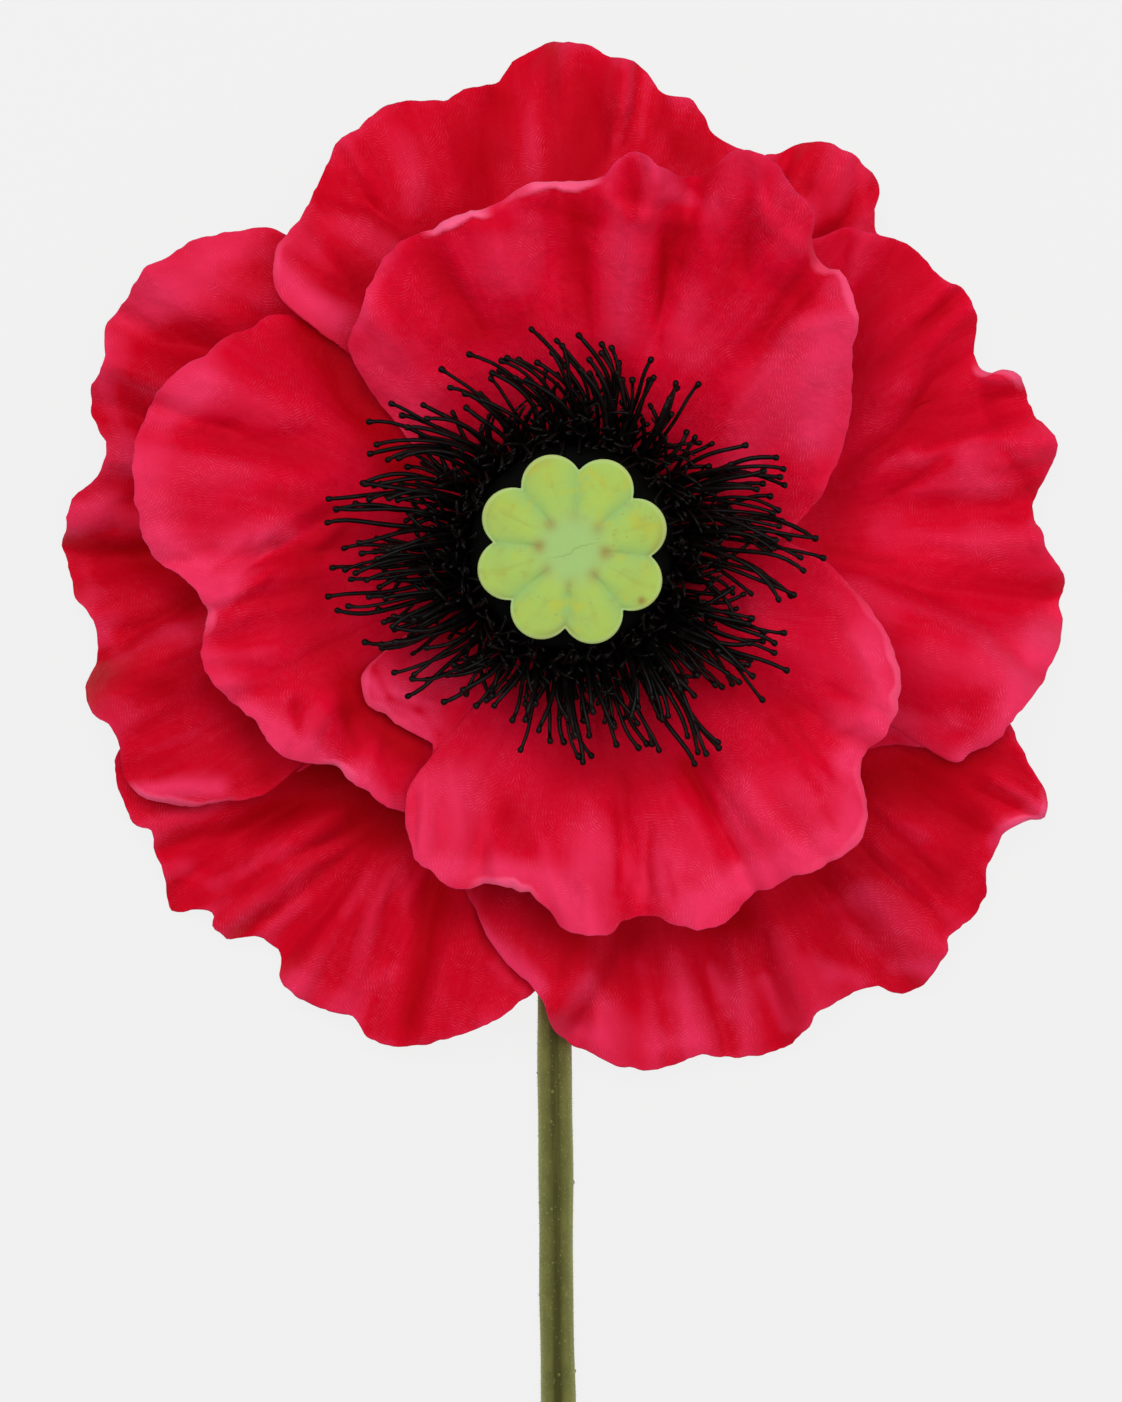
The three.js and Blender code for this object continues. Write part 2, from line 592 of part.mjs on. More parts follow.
const bloom = new THREE.Group();
petals.forEach((petal, index) => bloom.add(piece(petal.name, petalGeometry(index), petalRed, 0.8)));
bloom.add(piece('stamens', stamens(), stamenBlack, 0.6));
bloom.add(piece('seed_capsule', seedCapsule(), capsuleGreen, 0.55));
bloom.add(piece('stem', stem(), stemGreen, 0.85));

// The origin is at the middle of the footprint, on the surface
const box = new THREE.Box3().setFromObject(bloom, true);
const middle = box.getCenter(new THREE.Vector3());
bloom.position.set(-middle.x, -middle.y, -box.min.z);

const poppy = new THREE.Group();
poppy.add(bloom);

export default poppy;
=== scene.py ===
# Poppy lying on its back: ruffled petals in layers, a brush of stamens, a seed capsule and a stem
import math
import random

import bpy
import numpy as np
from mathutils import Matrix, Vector


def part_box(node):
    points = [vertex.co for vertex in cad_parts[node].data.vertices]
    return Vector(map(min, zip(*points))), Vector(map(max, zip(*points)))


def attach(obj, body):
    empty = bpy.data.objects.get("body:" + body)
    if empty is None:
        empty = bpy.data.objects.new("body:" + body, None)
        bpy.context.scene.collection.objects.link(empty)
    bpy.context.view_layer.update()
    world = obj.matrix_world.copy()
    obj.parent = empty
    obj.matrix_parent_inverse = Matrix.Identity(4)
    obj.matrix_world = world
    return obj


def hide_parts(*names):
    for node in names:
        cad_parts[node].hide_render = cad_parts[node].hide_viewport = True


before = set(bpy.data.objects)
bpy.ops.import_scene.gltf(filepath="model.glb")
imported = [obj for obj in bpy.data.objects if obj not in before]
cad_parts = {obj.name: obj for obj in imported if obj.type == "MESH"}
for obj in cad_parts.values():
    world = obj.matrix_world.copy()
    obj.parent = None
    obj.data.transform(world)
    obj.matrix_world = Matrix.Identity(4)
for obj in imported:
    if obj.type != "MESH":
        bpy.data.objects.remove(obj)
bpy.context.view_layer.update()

# Lengths here are millimetres, from the bloom's axis and up from the surface. Angles are degrees.
mm = 0.001
capsuleLow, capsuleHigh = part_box("seed_capsule")
stemLow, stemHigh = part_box("stem")
bloomAxis = ((capsuleLow[0] + capsuleHigh[0]) / 2, (capsuleLow[1] + capsuleHigh[1]) / 2)
capsuleFoot = capsuleLow[2] / mm
discTop = capsuleHigh[2] / mm
stemWidth = 4.2
stemSides = (-0.8, -2.6)    # how far the stem lies beside the bloom's axis, at its cut end and at the neck
stemStart = (stemLow[1] - bloomAxis[1]) / mm
neckBend = 7.0             # radius of the bend below the bloom
neckStart = -(neckBend + 2)    # where the straight stem ends
print("frame loaded")


# Shared helpers

def stemLine(y):    # where the stem's middle lies
    return np.interp(y, (stemStart, neckStart), stemSides)


def polar(angle, radius):
    turn = np.radians(angle)
    return radius * np.cos(turn), radius * np.sin(turn)


def smooth(share):
    share = np.clip(share, 0, 1)
    return share * share * (3 - 2 * share)


def hump(value, width, middle=0):    # 1 at the middle, falling off on both sides
    return np.exp(-((value - middle) / width) ** 2)


def eased(rows, angle):    # a table of [angle, value] rows, eased from each row to the next
    at = np.array([row[0] for row in rows], float)
    value = np.array([row[1] for row in rows], float)
    i = np.clip(np.searchsorted(at, angle), 1, len(at) - 1)
    return value[i - 1] + (value[i] - value[i - 1]) * smooth((angle - at[i - 1]) / (at[i] - at[i - 1]))


def curveThrough(points, count):    # evenly spaced points on a smooth curve through a few
    p = np.array(points, float)
    p = np.vstack([2 * p[0] - p[1], p, 2 * p[-1] - p[-2]])
    stepsPerSpan = 20
    line = []
    for a, b, c, d in zip(p[:-3], p[1:-2], p[2:-1], p[3:]):
        k1 = math.sqrt(np.linalg.norm(b - a))
        k2 = k1 + math.sqrt(np.linalg.norm(c - b))
        k3 = k2 + math.sqrt(np.linalg.norm(d - c))
        k = np.linspace(k1, k2, stepsPerSpan, endpoint=False)[:, None]
        ab = (k1 - k) / k1 * a + k / k1 * b
        bc = (k2 - k) / (k2 - k1) * b + (k - k1) / (k2 - k1) * c
        cd = (k3 - k) / (k3 - k2) * c + (k - k2) / (k3 - k2) * d
        abc = (k2 - k) / k2 * ab + k / k2 * bc
        bcd = (k3 - k) / (k3 - k1) * bc + (k - k1) / (k3 - k1) * cd
        line.append((k2 - k) / (k2 - k1) * abc + (k - k1) / (k2 - k1) * bcd)
    line = np.vstack(line + [p[-2:-1]])
    length = np.concatenate([[0], np.cumsum(np.linalg.norm(np.diff(line, axis=0), axis=1))])
    at = np.linspace(0, length[-1], count)
    return np.stack([np.interp(at, length, line[:, i]) for i in range(line.shape[1])], axis=1)


def addPiece(name, points, faces, material, node, maps=None):    # points in millimetres
    mesh = bpy.data.meshes.new(name)
    world = np.array(points, float) * mm + [bloomAxis[0], bloomAxis[1], 0]
    mesh.from_pydata(world.tolist(), [], faces)
    mesh.polygons.foreach_set("use_smooth", [True] * len(mesh.polygons))
    if maps is not None:
        corner = np.empty(len(mesh.loops), dtype=np.int32)
        mesh.loops.foreach_get("vertex_index", corner)
        layer = mesh.uv_layers.new(name="growth")
        layer.data.foreach_set("uv", np.array(maps, float)[corner].ravel())
    mesh.validate()
    piece = bpy.data.objects.new(name, mesh)
    bpy.context.collection.objects.link(piece)
    mesh.materials.append(material)
    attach(piece, "root")
    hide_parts(node)
    return piece


def setMasks(piece, masks):    # one value per point, which the materials read
    for name, values in masks.items():
        layer = piece.data.attributes.new(name, "FLOAT", "POINT")
        layer.data.foreach_set("value", values.astype(np.float32))


def gridFaces(rows, columns, start=0, flip=False, closed=False):
    faces = []
    for row in range(rows - 1):
        for column in range(columns if closed else columns - 1):
            a = start + row * columns + column
            b = start + row * columns + (column + 1) % columns
            face = (a, b, b + columns, a + columns)
            faces.append(face[::-1] if flip else face)
    return faces


def turnedRings(profile, sides):    # rings round the bloom's axis from (radius, height) pairs
    turns = np.arange(sides) * 360 / sides
    rings = [(*polar(turns, radius), np.full(sides, height)) for radius, height in profile]
    return np.array(rings).transpose(0, 2, 1)


def tubeRings(path, radii, sides):    # rings of a round tube along a path
    path = np.array(path, float)
    ahead = np.gradient(path, axis=0)
    ahead /= np.linalg.norm(ahead, axis=1)[:, None]
    side = np.cross(ahead, [0, 0, 1.0])
    upright = np.linalg.norm(side, axis=1) < 1e-3
    side[upright] = [1.0, 0, 0]
    side /= np.linalg.norm(side, axis=1)[:, None]
    above = np.cross(side, ahead)
    turn = np.arange(sides) * 2 * np.pi / sides
    ring = side[:, None] * np.cos(turn)[None, :, None] + above[:, None] * np.sin(turn)[None, :, None]
    return path[:, None] + ring * np.array(radii, float)[:, None, None]


def tubeFaces(rings, sides, start):
    faces = gridFaces(rings, sides, start, closed=True)
    faces.append(tuple(start + i for i in reversed(range(sides))))
    last = start + (rings - 1) * sides
    faces.append(tuple(last + i for i in range(sides)))
    return faces


# Shader helpers and the effects that several materials share

def addNode(tree, kind, values=None, **settings):
    node = tree.nodes.new(kind)
    for key, setting in settings.items():
        setattr(node, key, setting)
    for key, value in (values or {}).items():
        node.inputs[key].default_value = value
    return node


def wire(tree, *pairs):
    for output, socket in pairs:
        tree.links.new(output, socket)


def feed(tree, socket, given):    # given is another node's output or a plain value
    if isinstance(given, bpy.types.NodeSocket):
        tree.links.new(given, socket)
    else:
        socket.default_value = given


def mixColours(tree, mask, first, second):
    node = addNode(tree, "ShaderNodeMix", data_type="RGBA")
    for place, given in ((0, mask), (6, first), (7, second)):
        feed(tree, node.inputs[place], given)
    return node.outputs[2]


def layColours(tree, shader, colour, layers):    # each layer is (mask, colour), the lowest one first
    for mask, over in layers:
        colour = mixColours(tree, mask, colour, over)
    wire(tree, (colour, shader.inputs["Base Color"]))


def scaled(tree, source, share):    # a mask made weaker, by a number or by another mask
    node = addNode(tree, "ShaderNodeMath", operation="MULTIPLY")
    feed(tree, node.inputs[0], source)
    feed(tree, node.inputs[1], share)
    return node.outputs[0]


def between(tree, source, low, high, most):    # a mask that rises to most between two values
    node = addNode(tree, "ShaderNodeMapRange", {"From Min": low, "From Max": high, "To Max": most})
    wire(tree, (source, node.inputs["Value"]))
    return node.outputs[0]


def pointMask(tree, name):    # a mask that setMasks put on the piece
    return addNode(tree, "ShaderNodeAttribute", attribute_name=name).outputs["Fac"]


def newGroup(name, source, output, **values):    # source is a vector, the values are numbers
    group = bpy.data.node_groups.new(name, "ShaderNodeTree")
    group.interface.new_socket(source, in_out="INPUT", socket_type="NodeSocketVector")
    for key, value in values.items():
        socket = group.interface.new_socket(key, in_out="INPUT", socket_type="NodeSocketFloat")
        socket.default_value = value
    group.interface.new_socket(output, in_out="OUTPUT", socket_type="NodeSocketFloat")
    return group, addNode(group, "NodeGroupInput").outputs, addNode(group, "NodeGroupOutput").inputs


def perSize(tree, vector, size):    # a place divided by a size in millimetres
    share = addNode(tree, "ShaderNodeMath", {0: 1 / mm}, operation="DIVIDE")
    node = addNode(tree, "ShaderNodeVectorMath", operation="SCALE")
    wire(tree, (size, share.inputs[1]), (vector, node.inputs[0]), (share.outputs[0], node.inputs["Scale"]))
    return node.outputs[0]


def makeCrinkleGroup():    # short fine creases of pressed cloth, in patches, their run turning slowly
    group, given, result = newGroup(
        "fineCrinkle", "Vector", "Height", Size=0.9, Lines=2.45, Turning=11.0, Patches=8.0)
    fine = perSize(group, given["Vector"], given["Size"])
    slow = perSize(group, given["Vector"], given["Turning"])
    broad = perSize(group, given["Vector"], given["Patches"])
    heading = addNode(group, "ShaderNodeTexNoise", {"Scale": 1.0, "Detail": 1.0})
    mostTurn = 11.0    # radians
    turned = scaled(group, heading.outputs["Fac"], mostTurn)
    lines = addNode(group, "ShaderNodeTexGabor", {"Scale": 1.0, "Anisotropy": 0.78}, gabor_type="2D")
    ridges = addNode(group, "ShaderNodeMapRange", {"From Min": 0.5, "From Max": 0.8})
    where = addNode(group, "ShaderNodeTexNoise", {"Scale": 1.0, "Detail": 5.0, "Roughness": 0.68})
    spread = addNode(group, "ShaderNodeMapRange", {"From Min": 0.42, "From Max": 0.6, "To Min": 0.1})
    mixed = scaled(group, ridges.outputs["Result"], spread.outputs["Result"])
    wire(group, (slow, heading.inputs["Vector"]), (fine, lines.inputs["Vector"]),
         (given["Lines"], lines.inputs["Frequency"]), (turned, lines.inputs["Orientation"]),
         (lines.outputs["Value"], ridges.inputs["Value"]), (broad, where.inputs["Vector"]),
         (where.outputs["Fac"], spread.inputs["Value"]), (mixed, result["Height"]))
    return group


def makeMottleGroup():    # broad soft patches
    group, given, result = newGroup("softMottle", "Vector", "Mask", Size=12.0, Low=0.35, High=0.65)
    noise = addNode(group, "ShaderNodeTexNoise", {"Scale": 1.0, "Detail": 3.0, "Roughness": 0.55})
    spread = addNode(group, "ShaderNodeMapRange", interpolation_type="SMOOTHSTEP")
    wire(group, (perSize(group, given["Vector"], given["Size"]), noise.inputs["Vector"]),
         (noise.outputs["Fac"], spread.inputs["Value"]), (given["Low"], spread.inputs["From Min"]),
         (given["High"], spread.inputs["From Max"]), (spread.outputs["Result"], result["Mask"]))
    return group


def makeVeinGroup():    # streaks that run along a piece's growth, U across them and V along
    group, given, result = newGroup("growthVeins", "Growth", "Mask", Spacing=1.2, Stretch=14.0)
    apart = addNode(group, "ShaderNodeSeparateXYZ")
    across = addNode(group, "ShaderNodeMath", operation="DIVIDE")
    along = addNode(group, "ShaderNodeMath", operation="DIVIDE")
    longer = addNode(group, "ShaderNodeMath", operation="MULTIPLY")
    joined = addNode(group, "ShaderNodeCombineXYZ")
    noise = addNode(group, "ShaderNodeTexNoise",
                    {"Scale": 1.0, "Detail": 4.0, "Roughness": 0.6, "Distortion": 0.3})
    wire(group, (given["Growth"], apart.inputs[0]), (apart.outputs[0], across.inputs[0]),
         (given["Spacing"], across.inputs[1]), (given["Spacing"], longer.inputs[0]),
         (given["Stretch"], longer.inputs[1]), (apart.outputs[1], along.inputs[0]),
         (longer.outputs[0], along.inputs[1]), (across.outputs[0], joined.inputs[0]),
         (along.outputs[0], joined.inputs[1]), (joined.outputs[0], noise.inputs["Vector"]),
         (noise.outputs["Fac"], result["Mask"]))
    return group


def makeSpeckGroup():    # small scattered dots
    group, given, result = newGroup("smallSpecks", "Vector", "Mask", Size=1.0, Reach=0.2)
    cells = addNode(group, "ShaderNodeTexVoronoi", {"Scale": 1.0, "Randomness": 1.0})
    spread = addNode(group, "ShaderNodeMapRange", {"To Min": 1.0, "To Max": 0.0})
    wire(group, (perSize(group, given["Vector"], given["Size"]), cells.inputs["Vector"]),
         (cells.outputs["Distance"], spread.inputs["Value"]), (given["Reach"], spread.inputs["From Max"]),
         (spread.outputs["Result"], result["Mask"]))
    return group


crinkleGroup = makeCrinkleGroup()
mottleGroup = makeMottleGroup()
veinGroup = makeVeinGroup()
speckGroup = makeSpeckGroup()


def useGroup(tree, group, source, **values):    # source feeds the group's first input
    node = addNode(tree, "ShaderNodeGroup", node_tree=group)
    tree.links.new(source, node.inputs[0])
    for key, value in values.items():
        node.inputs[key].default_value = value
    return node.outputs[0]


def startMaterial(name, shaderValues):
    material = bpy.data.materials.new(name)
    material.use_nodes = True
    shader = material.node_tree.nodes["Principled BSDF"]
    for key, value in shaderValues.items():
        shader.inputs[key].default_value = value
    return material, material.node_tree, shader


def placeOf(tree):    # where on the piece, in metres
    return addNode(tree, "ShaderNodeTexCoord").outputs["Object"]


def growthOf(tree):    # how far across and along the piece's growth, in millimetres
    return addNode(tree, "ShaderNodeUVMap", uv_map="growth").outputs["UV"]


def addBumps(tree, shader, *heights):    # each height is (socket, strength, depth in millimetres)
    normal = None
    for socket, strength, depth in heights:
        bump = addNode(tree, "ShaderNodeBump", {"Strength": strength, "Distance": depth * mm})
        tree.links.new(socket, bump.inputs["Height"])
        if normal is not None:
            tree.links.new(normal, bump.inputs["Normal"])
        normal = bump.outputs["Normal"]
    tree.links.new(normal, shader.inputs["Normal"])


# Petals

petalLook = {
    "thickness": 0.42,          # at the body, thinner at the free edge
    "edgeThickness": 0.18,
    "rootRadius": 5.3,
    "rootShare": 0.66,          # width of the root against the free edge
    "columnWidth": 0.55,
    "rows": 66,
    "rootGap": 1.2,             # from one layer to the next at the root
    "layerGap": 2.0,            # and further out
    "gapReach": 25,             # radius where the gap is full
    "layerMargin": 1.6,         # how far past its edge a layer still holds up the next one fully
    "layerFall": 0.25,          # how steeply that hold drops further out
    "layerBlend": 0.8,          # how softly a petal settles on what lies below
    "stemSink": 0.35,           # the lowest gap starts this far below the stem's upper side
    "groundHeight": 0.25,
    "pleat": 0.05,              # height of the fine radial pleats
    "pleats": ((67, 1.0), (109, 0.6)),    # (waves round the bloom, share of the height)
    "frill": 0.28,              # height of the small waves of the free edge
    "frills": ((43, 0.8), (61, 0.6), (97, 0.4)),
    "fray": 0.07,               # how far that edge wanders sideways
    "thinning": 5,              # how far in from the edge the cloth gets its full thickness
    "rollWidth": 1.7,           # strip along the edge that rolls down
    "rollDrop": 0.5,
    "wrinkles": 46,             # small seeded ones on each petal
    "wrinkleRise": 0.2,
    "wrinkleReach": (0.4, 0.97),    # share of the petal's reach
    "wrinkleTurn": 22,          # how far they turn from the petal's own direction
    "wrinkleLength": (1.5, 6),  # half of it
    "wrinkleWidth": (0.5, 1.3),
    "creaseRise": 0.6,          # of the listed creases, against their rise in the list
    "lipRoll": 0.6,             # the edge curls over where its roll is more than this
    "lipWidth": 1.05,
    "lipRise": 0.45,
    "seed": 3,
    # painted light and shade: the petals listed as lit get the brighter red, the rest the deeper red as if in
    # shade
    "redInShade": (0.55, 0.0004, 0.013, 1),
    "redInLight": (0.6, 0.0007, 0.019, 1),
    "petalsInLight": ("petal_inner_left", "petal_inner_bottom", "petal_inner_top", "petal_outer_right"),
    # deep red of the cloth's random patches, and the colour of painted shade
    "deepRedAndShade": (0.38, 0.0001, 0.004, 1),
    # pink of the cloth's fine veins, and the colour of painted light
    "pinkVeinsAndLight": (0.72, 0.026, 0.091, 1),
    # pale pink of painted sheen and painted highlights
    "palePinkHighlight": (0.87, 0.105, 0.225, 1),
    "crestLightAndShade": 0.15,          # painted highlight on the crests of the folds, and painted shade in their hollows
    "crestRise": 0.65,          # height of a full crest over the broad form
    "edgeHighlight": 0.12,           # painted highlight along the free edge
    "edgeHighlightWidth": 1.2,
    "roughness": 0.58,
    "specular": 0.08,
    "sheen": 0.04,
    "soft": 0.12,               # light that the cloth scatters inside
    "baseReach": 14.5,          # radius of the dark patch at the petals' foot
    "baseFade": 3.5,
    "baseBlack": (0.012, 0.001, 0.003, 1),
}

# From the lowest layer to the highest. rim: [angle, reach] round the free edge. lift: height of that edge.
# ruffle: rise of its waves. folds: [root angle, rim angle, start radius, end radius, half width, rise].
# roll: drop of the rolled edge. creases: [x, y, x, y, half width, rise] from one end to the other.
# bowl: how late the petal rises or falls from its root to its edge.
petals = [
    {
        "name": "petal_outer_top_right",
        "rootHeight": 9.4,
        "bowl": 1.6,
        "rim": [
            [22, 30], [28, 41], [38, 48], [44.9, 51.6], [46.4, 52], [48.1, 53.7], [49.7, 56.2], [52, 57.2],
            [54.7, 57.2], [56, 56.9], [57.4, 57], [60.3, 55.4], [62.4, 53], [63.5, 52.3], [64.7, 51.1],
            [80, 44], [86, 30],
        ],
        "lift": [[22, 7], [40, 5], [55, 5], [75, 5], [90, 8]],
        "ruffle": [[44, 0], [49, -1], [55, 1], [61, -1], [66, 0]],
        "folds": [[56, 55, 34, 60, 2.2, 1.2], [60, 62, 38, 60, 1.8, -1]],
        "roll": [[22, 0.4], [86, 0.4]],
        "creases": [
            [27, 47, 25.5, 42.5, 1.4, 0.9], [28.5, 46.5, 28, 41, 1.2, -0.9], [31.5, 46, 31, 40.5, 1.4, 1],
            [33.5, 45.5, 33.5, 40, 1.2, -0.8], [35, 43.5, 35, 39.5, 1.2, 0.8], [24.5, 44, 27, 43, 1.2, -1],
            [32, 38, 35, 38, 1.2, -0.7],
        ],
    },
    {
        "name": "petal_outer_bottom_left",
        "rootHeight": 9.8,
        "bowl": 1.5,
        "rim": [
            [193, 36], [198, 50], [203.2, 57.8], [205.7, 60.1], [212.6, 60.9], [213.8, 60], [214.6, 60.1],
            [215.4, 60.9], [217.5, 61.3], [221.3, 63.6], [222.8, 63.4], [223.7, 61.5], [225.6, 60.5],
            [226.3, 61.5], [228.2, 61.6], [231.2, 58.8], [233.6, 58.8], [234.6, 59.5], [236.3, 61.7],
            [240.6, 61.9], [244.7, 61.3], [248.2, 62.6], [250.9, 62.2], [255, 60.2], [261.8, 55.4],
            [263.4, 53.7], [265.9, 51.7], [269.5, 46], [273, 32],
        ],
        "lift": [[193, 9], [205, 5], [215, 2.5], [235, 2.5], [250, 4], [262, 8], [273, 10]],
        "ruffle": [
            [200, 0], [207, -1.5], [214, 1.5], [221, -1.5], [227, 1.5], [232, -1.5], [237, 1.5],
            [243, -1.5], [249, 1.5], [256, -1], [262, 0],
        ],
        "folds": [
            [216, 214, 34, 62, 2, 1], [222, 221, 32, 62, 2, -1], [228, 227, 32, 62, 2, 1],
            [234, 235, 30, 62, 2, -1], [240, 242, 30, 62, 2, 1], [246, 249, 30, 62, 2, -1],
            [252, 256, 30, 60, 2, 1],
        ],
        "roll": [[193, 0.4], [273, 0.4]],
        "creases": [
            [-28.5, -33, -46.5, -41, 1.6, 1.1], [-28.5, -34.5, -44, -42, 1.1, -1.2],
            [-28, -35.5, -41, -44.5, 1.3, 1], [-27, -36.5, -38.5, -45.5, 1, -1.1],
            [-26, -37, -36, -45.5, 1.2, 1], [-25.5, -38, -34, -49, 1.2, -1.2],
            [-24.5, -38.5, -32.5, -52, 1.5, 1.1], [-23, -39, -29, -53, 1.3, -1],
            [-22, -39.5, -27, -54.5, 1.5, 1], [-21, -40, -24, -57, 1.5, -1],
            [-19.5, -40, -21.5, -58, 1.6, 0.9], [-15.5, -39, -20, -58, 1.6, -1.4],
            [-14.5, -47.5, -17.5, -57.5, 1, 1], [-12, -41.5, -11, -55.5, 1.8, 0.8],
            [-28.5, -29.5, -48.5, -35.5, 1.6, -1.2], [-27.5, -31.5, -47.5, -38.5, 1.5, 1],
            [-29.5, -28.5, -50, -33, 1.6, 0.9], [-21, -31.5, -27.5, -35.5, 0.9, 0.9],
            [-26, -33, -32, -35, 1, -0.8], [-10.5, -48.5, -6, -52, 1, 0.7],
        ],
    },
    {
        "name": "petal_outer_bottom_right",
        "rootHeight": 10,
        "bowl": 1.4,
        "rim": [
            [250, 30], [252.5, 41.6], [254.6, 43.6], [259.6, 48.3], [266.2, 53.3], [268.1, 57.1],
            [271.5, 59.1], [274.8, 61.2], [279.1, 62.3], [284.5, 61.7], [286.2, 62.5], [292.7, 64.1],
            [296.5, 63], [298.1, 62.1], [304.4, 62.6], [306, 64.8], [307.1, 65.7], [310.6, 65.9],
            [313.2, 64.9], [313.9, 64], [314.8, 63.7], [317.5, 64.5], [320.5, 63.6], [321.7, 62.3],
            [325.2, 61.2], [326.4, 61], [329.4, 62.8], [330.6, 64.2], [332.9, 62.9], [334.8, 59.8],
            [337.1, 56.9], [338.4, 55.6], [342, 49], [346, 34],
        ],
        "lift": [[250, 11], [262, 9], [272, 6.5], [290, 3.5], [305, 3], [320, 4], [332, 7], [346, 9]],
        "ruffle": [
            [262, 0.8], [268, -1.5], [274, 1], [279, -1.5], [286, 1.5], [292, -2], [299, 1.6], [306, -1.8],
            [313, 1.6], [320, -1.6], [326, 1.5], [331, -1.2], [336, 0],
        ],
        "folds": [
            [266, 263, 40, 56, 2, 0.9], [272, 270, 38, 60, 2, -1.2], [282, 279, 38, 62, 2.2, 1],
            [290, 287, 38, 62, 2.4, -1.2], [300, 297, 38, 62, 2.4, 1.1], [306, 303, 40, 62, 2, -1],
            [322, 318, 40, 62, 2.4, 1], [328, 325, 40, 62, 2.4, -1.2],
        ],
        "roll": [[250, 0.5], [325, 0.4], [330, 1.3], [334, 0.5], [346, 0.4]],
        "creases": [
            [-7.5, -45, -4.5, -51.5, 1.6, 1.2], [-2, -45.5, 0.5, -54, 1.2, -1.5],
            [2, -47.5, 4, -59, 2, 1.1], [5.5, -48.5, 8, -59.5, 1.6, -0.7], [10, -48.5, 11, -60.5, 1.2, -1],
            [12, -47.5, 14, -59.5, 1.4, 1.1], [16, -48.5, 18, -59, 1.2, -1.3],
            [19, -47.5, 21, -58.5, 1.5, 1.1], [23, -46, 24.5, -58, 1.4, -0.8], [27, -44, 31.5, -52, 2, 0.9],
            [30.5, -40, 37, -50.5, 1.6, -0.9], [32, -37.5, 42, -47.5, 1.4, 1],
            [34.5, -35.5, 44, -45.5, 1, -1.1], [36.5, -35, 44.5, -43, 1, 0.9],
            [40, -35.5, 47.5, -42.5, 1.4, -0.9], [42, -33, 48.5, -38, 1.6, 0.8],
            [42, -29.5, 50.5, -35, 2, -0.6], [50.5, -27.5, 56, -31, 0.9, 1.5],
            [48.5, -28.5, 54.5, -32, 1, -1], [52.5, -25.5, 55, -29, 1, -0.9],
        ],
    },
    {
        "name": "petal_outer_right",
        "rootHeight": 10.2,
        "bowl": 1.4,
        "rim": [
            [-39, 28], [-33.9, 42.1], [-32.5, 43.1], [-28.9, 48.9], [-29.3, 50.1], [-28.8, 52],
            [-27.1, 52.8], [-23.7, 55.2], [-22.3, 55.2], [-20.8, 55.9], [-17.2, 57.2], [-9.3, 59], [-6, 58],
            [-3.6, 58.5], [-0.1, 56.2], [1.1, 55.9], [5.1, 54.7], [10.9, 58.2], [12.1, 58.5], [14.4, 58],
            [15.7, 57], [17, 56.8], [18, 56.5], [19.2, 57], [21.6, 56.4], [22.6, 55.3], [22.9, 53.3],
            [25.5, 52.7], [30.5, 55.2], [34.6, 55.2], [35.2, 54.6], [37.3, 53.9], [39.5, 54], [42.6, 53.4],
            [47.3, 50.9], [49.3, 50], [51.7, 46.8], [54.5, 44], [57, 32],
        ],
        "lift": [[-39, 11], [-28, 8], [-15, 5], [0, 4], [15, 5.5], [30, 7], [45, 9], [57, 12]],
        "ruffle": [
            [-34, 0], [-28, -1.5], [-22, 1.8], [-14, 0.5], [-7, -5.5], [0, 1.5], [6, -1.5], [12, 1.5],
            [18, -1.2], [24, 2], [29, -1.5], [35, 1.5], [42, -1.2], [49, 0.5],
        ],
        "folds": [
            [-22, -24, 30, 58, 3, 1], [-10, -12, 28, 58, 2.6, 0.8], [8, 5, 30, 58, 2.4, -1],
            [16, 14, 30, 58, 2.4, 1], [24, 25, 30, 56, 2, -1.3], [31, 31, 28, 56, 2.4, 1],
            [38, 39, 28, 54, 2.2, -1.2], [46, 46, 30, 54, 2.4, 0.8],
        ],
        "roll": [[-39, 0.4], [19, 0.5], [21, 1.2], [23, 1.2], [26, 0.4], [57, 0.4]],
        "creases": [
            [32, 36.5, 31, 31, 1.4, -1.2], [34.5, 36.5, 33, 29.5, 1.4, 1], [38, 35.5, 33.5, 28, 1.6, -0.9],
            [41.5, 33, 34, 26, 1.6, 0.9], [46, 30.5, 35, 19.5, 1, -1.5], [44.5, 31.5, 35, 22, 1.1, 0.9],
            [47, 28, 37, 18, 1.8, 1], [48.5, 23.5, 38.5, 17.5, 1.6, -0.9], [49, 20.5, 53, 20, 0.8, 1.5],
            [48.5, 18.5, 53.5, 18, 1.4, -1.5], [48, 18, 48.5, 16.5, 1, 1],
            [50.5, 17.5, 38.5, 14, 1.6, -0.8], [56, 13, 48.5, 13, 1.2, 1], [48.5, 13, 40.5, 11, 1.2, 0.9],
            [54.5, 11, 51.5, 10, 1.2, 0.7], [40.5, 12.5, 35, 8, 1.1, 0.8], [44.5, 11.5, 37.5, 6, 1.2, -1.1],
            [51, 11.5, 54.5, 6.5, 1, -1.3], [46.5, 9.5, 51, 6.5, 1.8, 1], [54.5, 4.5, 55, 1, 1, 1.1],
            [50.5, 4.5, 38.5, 2, 1.6, -0.7], [55, 1, 36.5, 1.5, 1.5, 0.9], [56, -1.5, 42, -0.5, 1.4, -0.6],
            [57, -6, 41, -5, 1.8, -0.7], [50.5, -12, 56.5, -10, 3.2, 1.2],
            [53, -16.5, 54.5, -10.5, 2.2, 0.9], [39.5, -13.5, 46, -18, 2.2, -1.1],
            [39.5, -17, 43.5, -20, 0.9, 0.8], [41.5, -18, 44.5, -22, 0.9, -1.1],
            [46, -19.5, 49.5, -20, 1.5, 1], [45, -21.5, 45, -24.5, 1, -0.8],
            [38.5, -9, 44.5, -12, 1.8, -0.8],
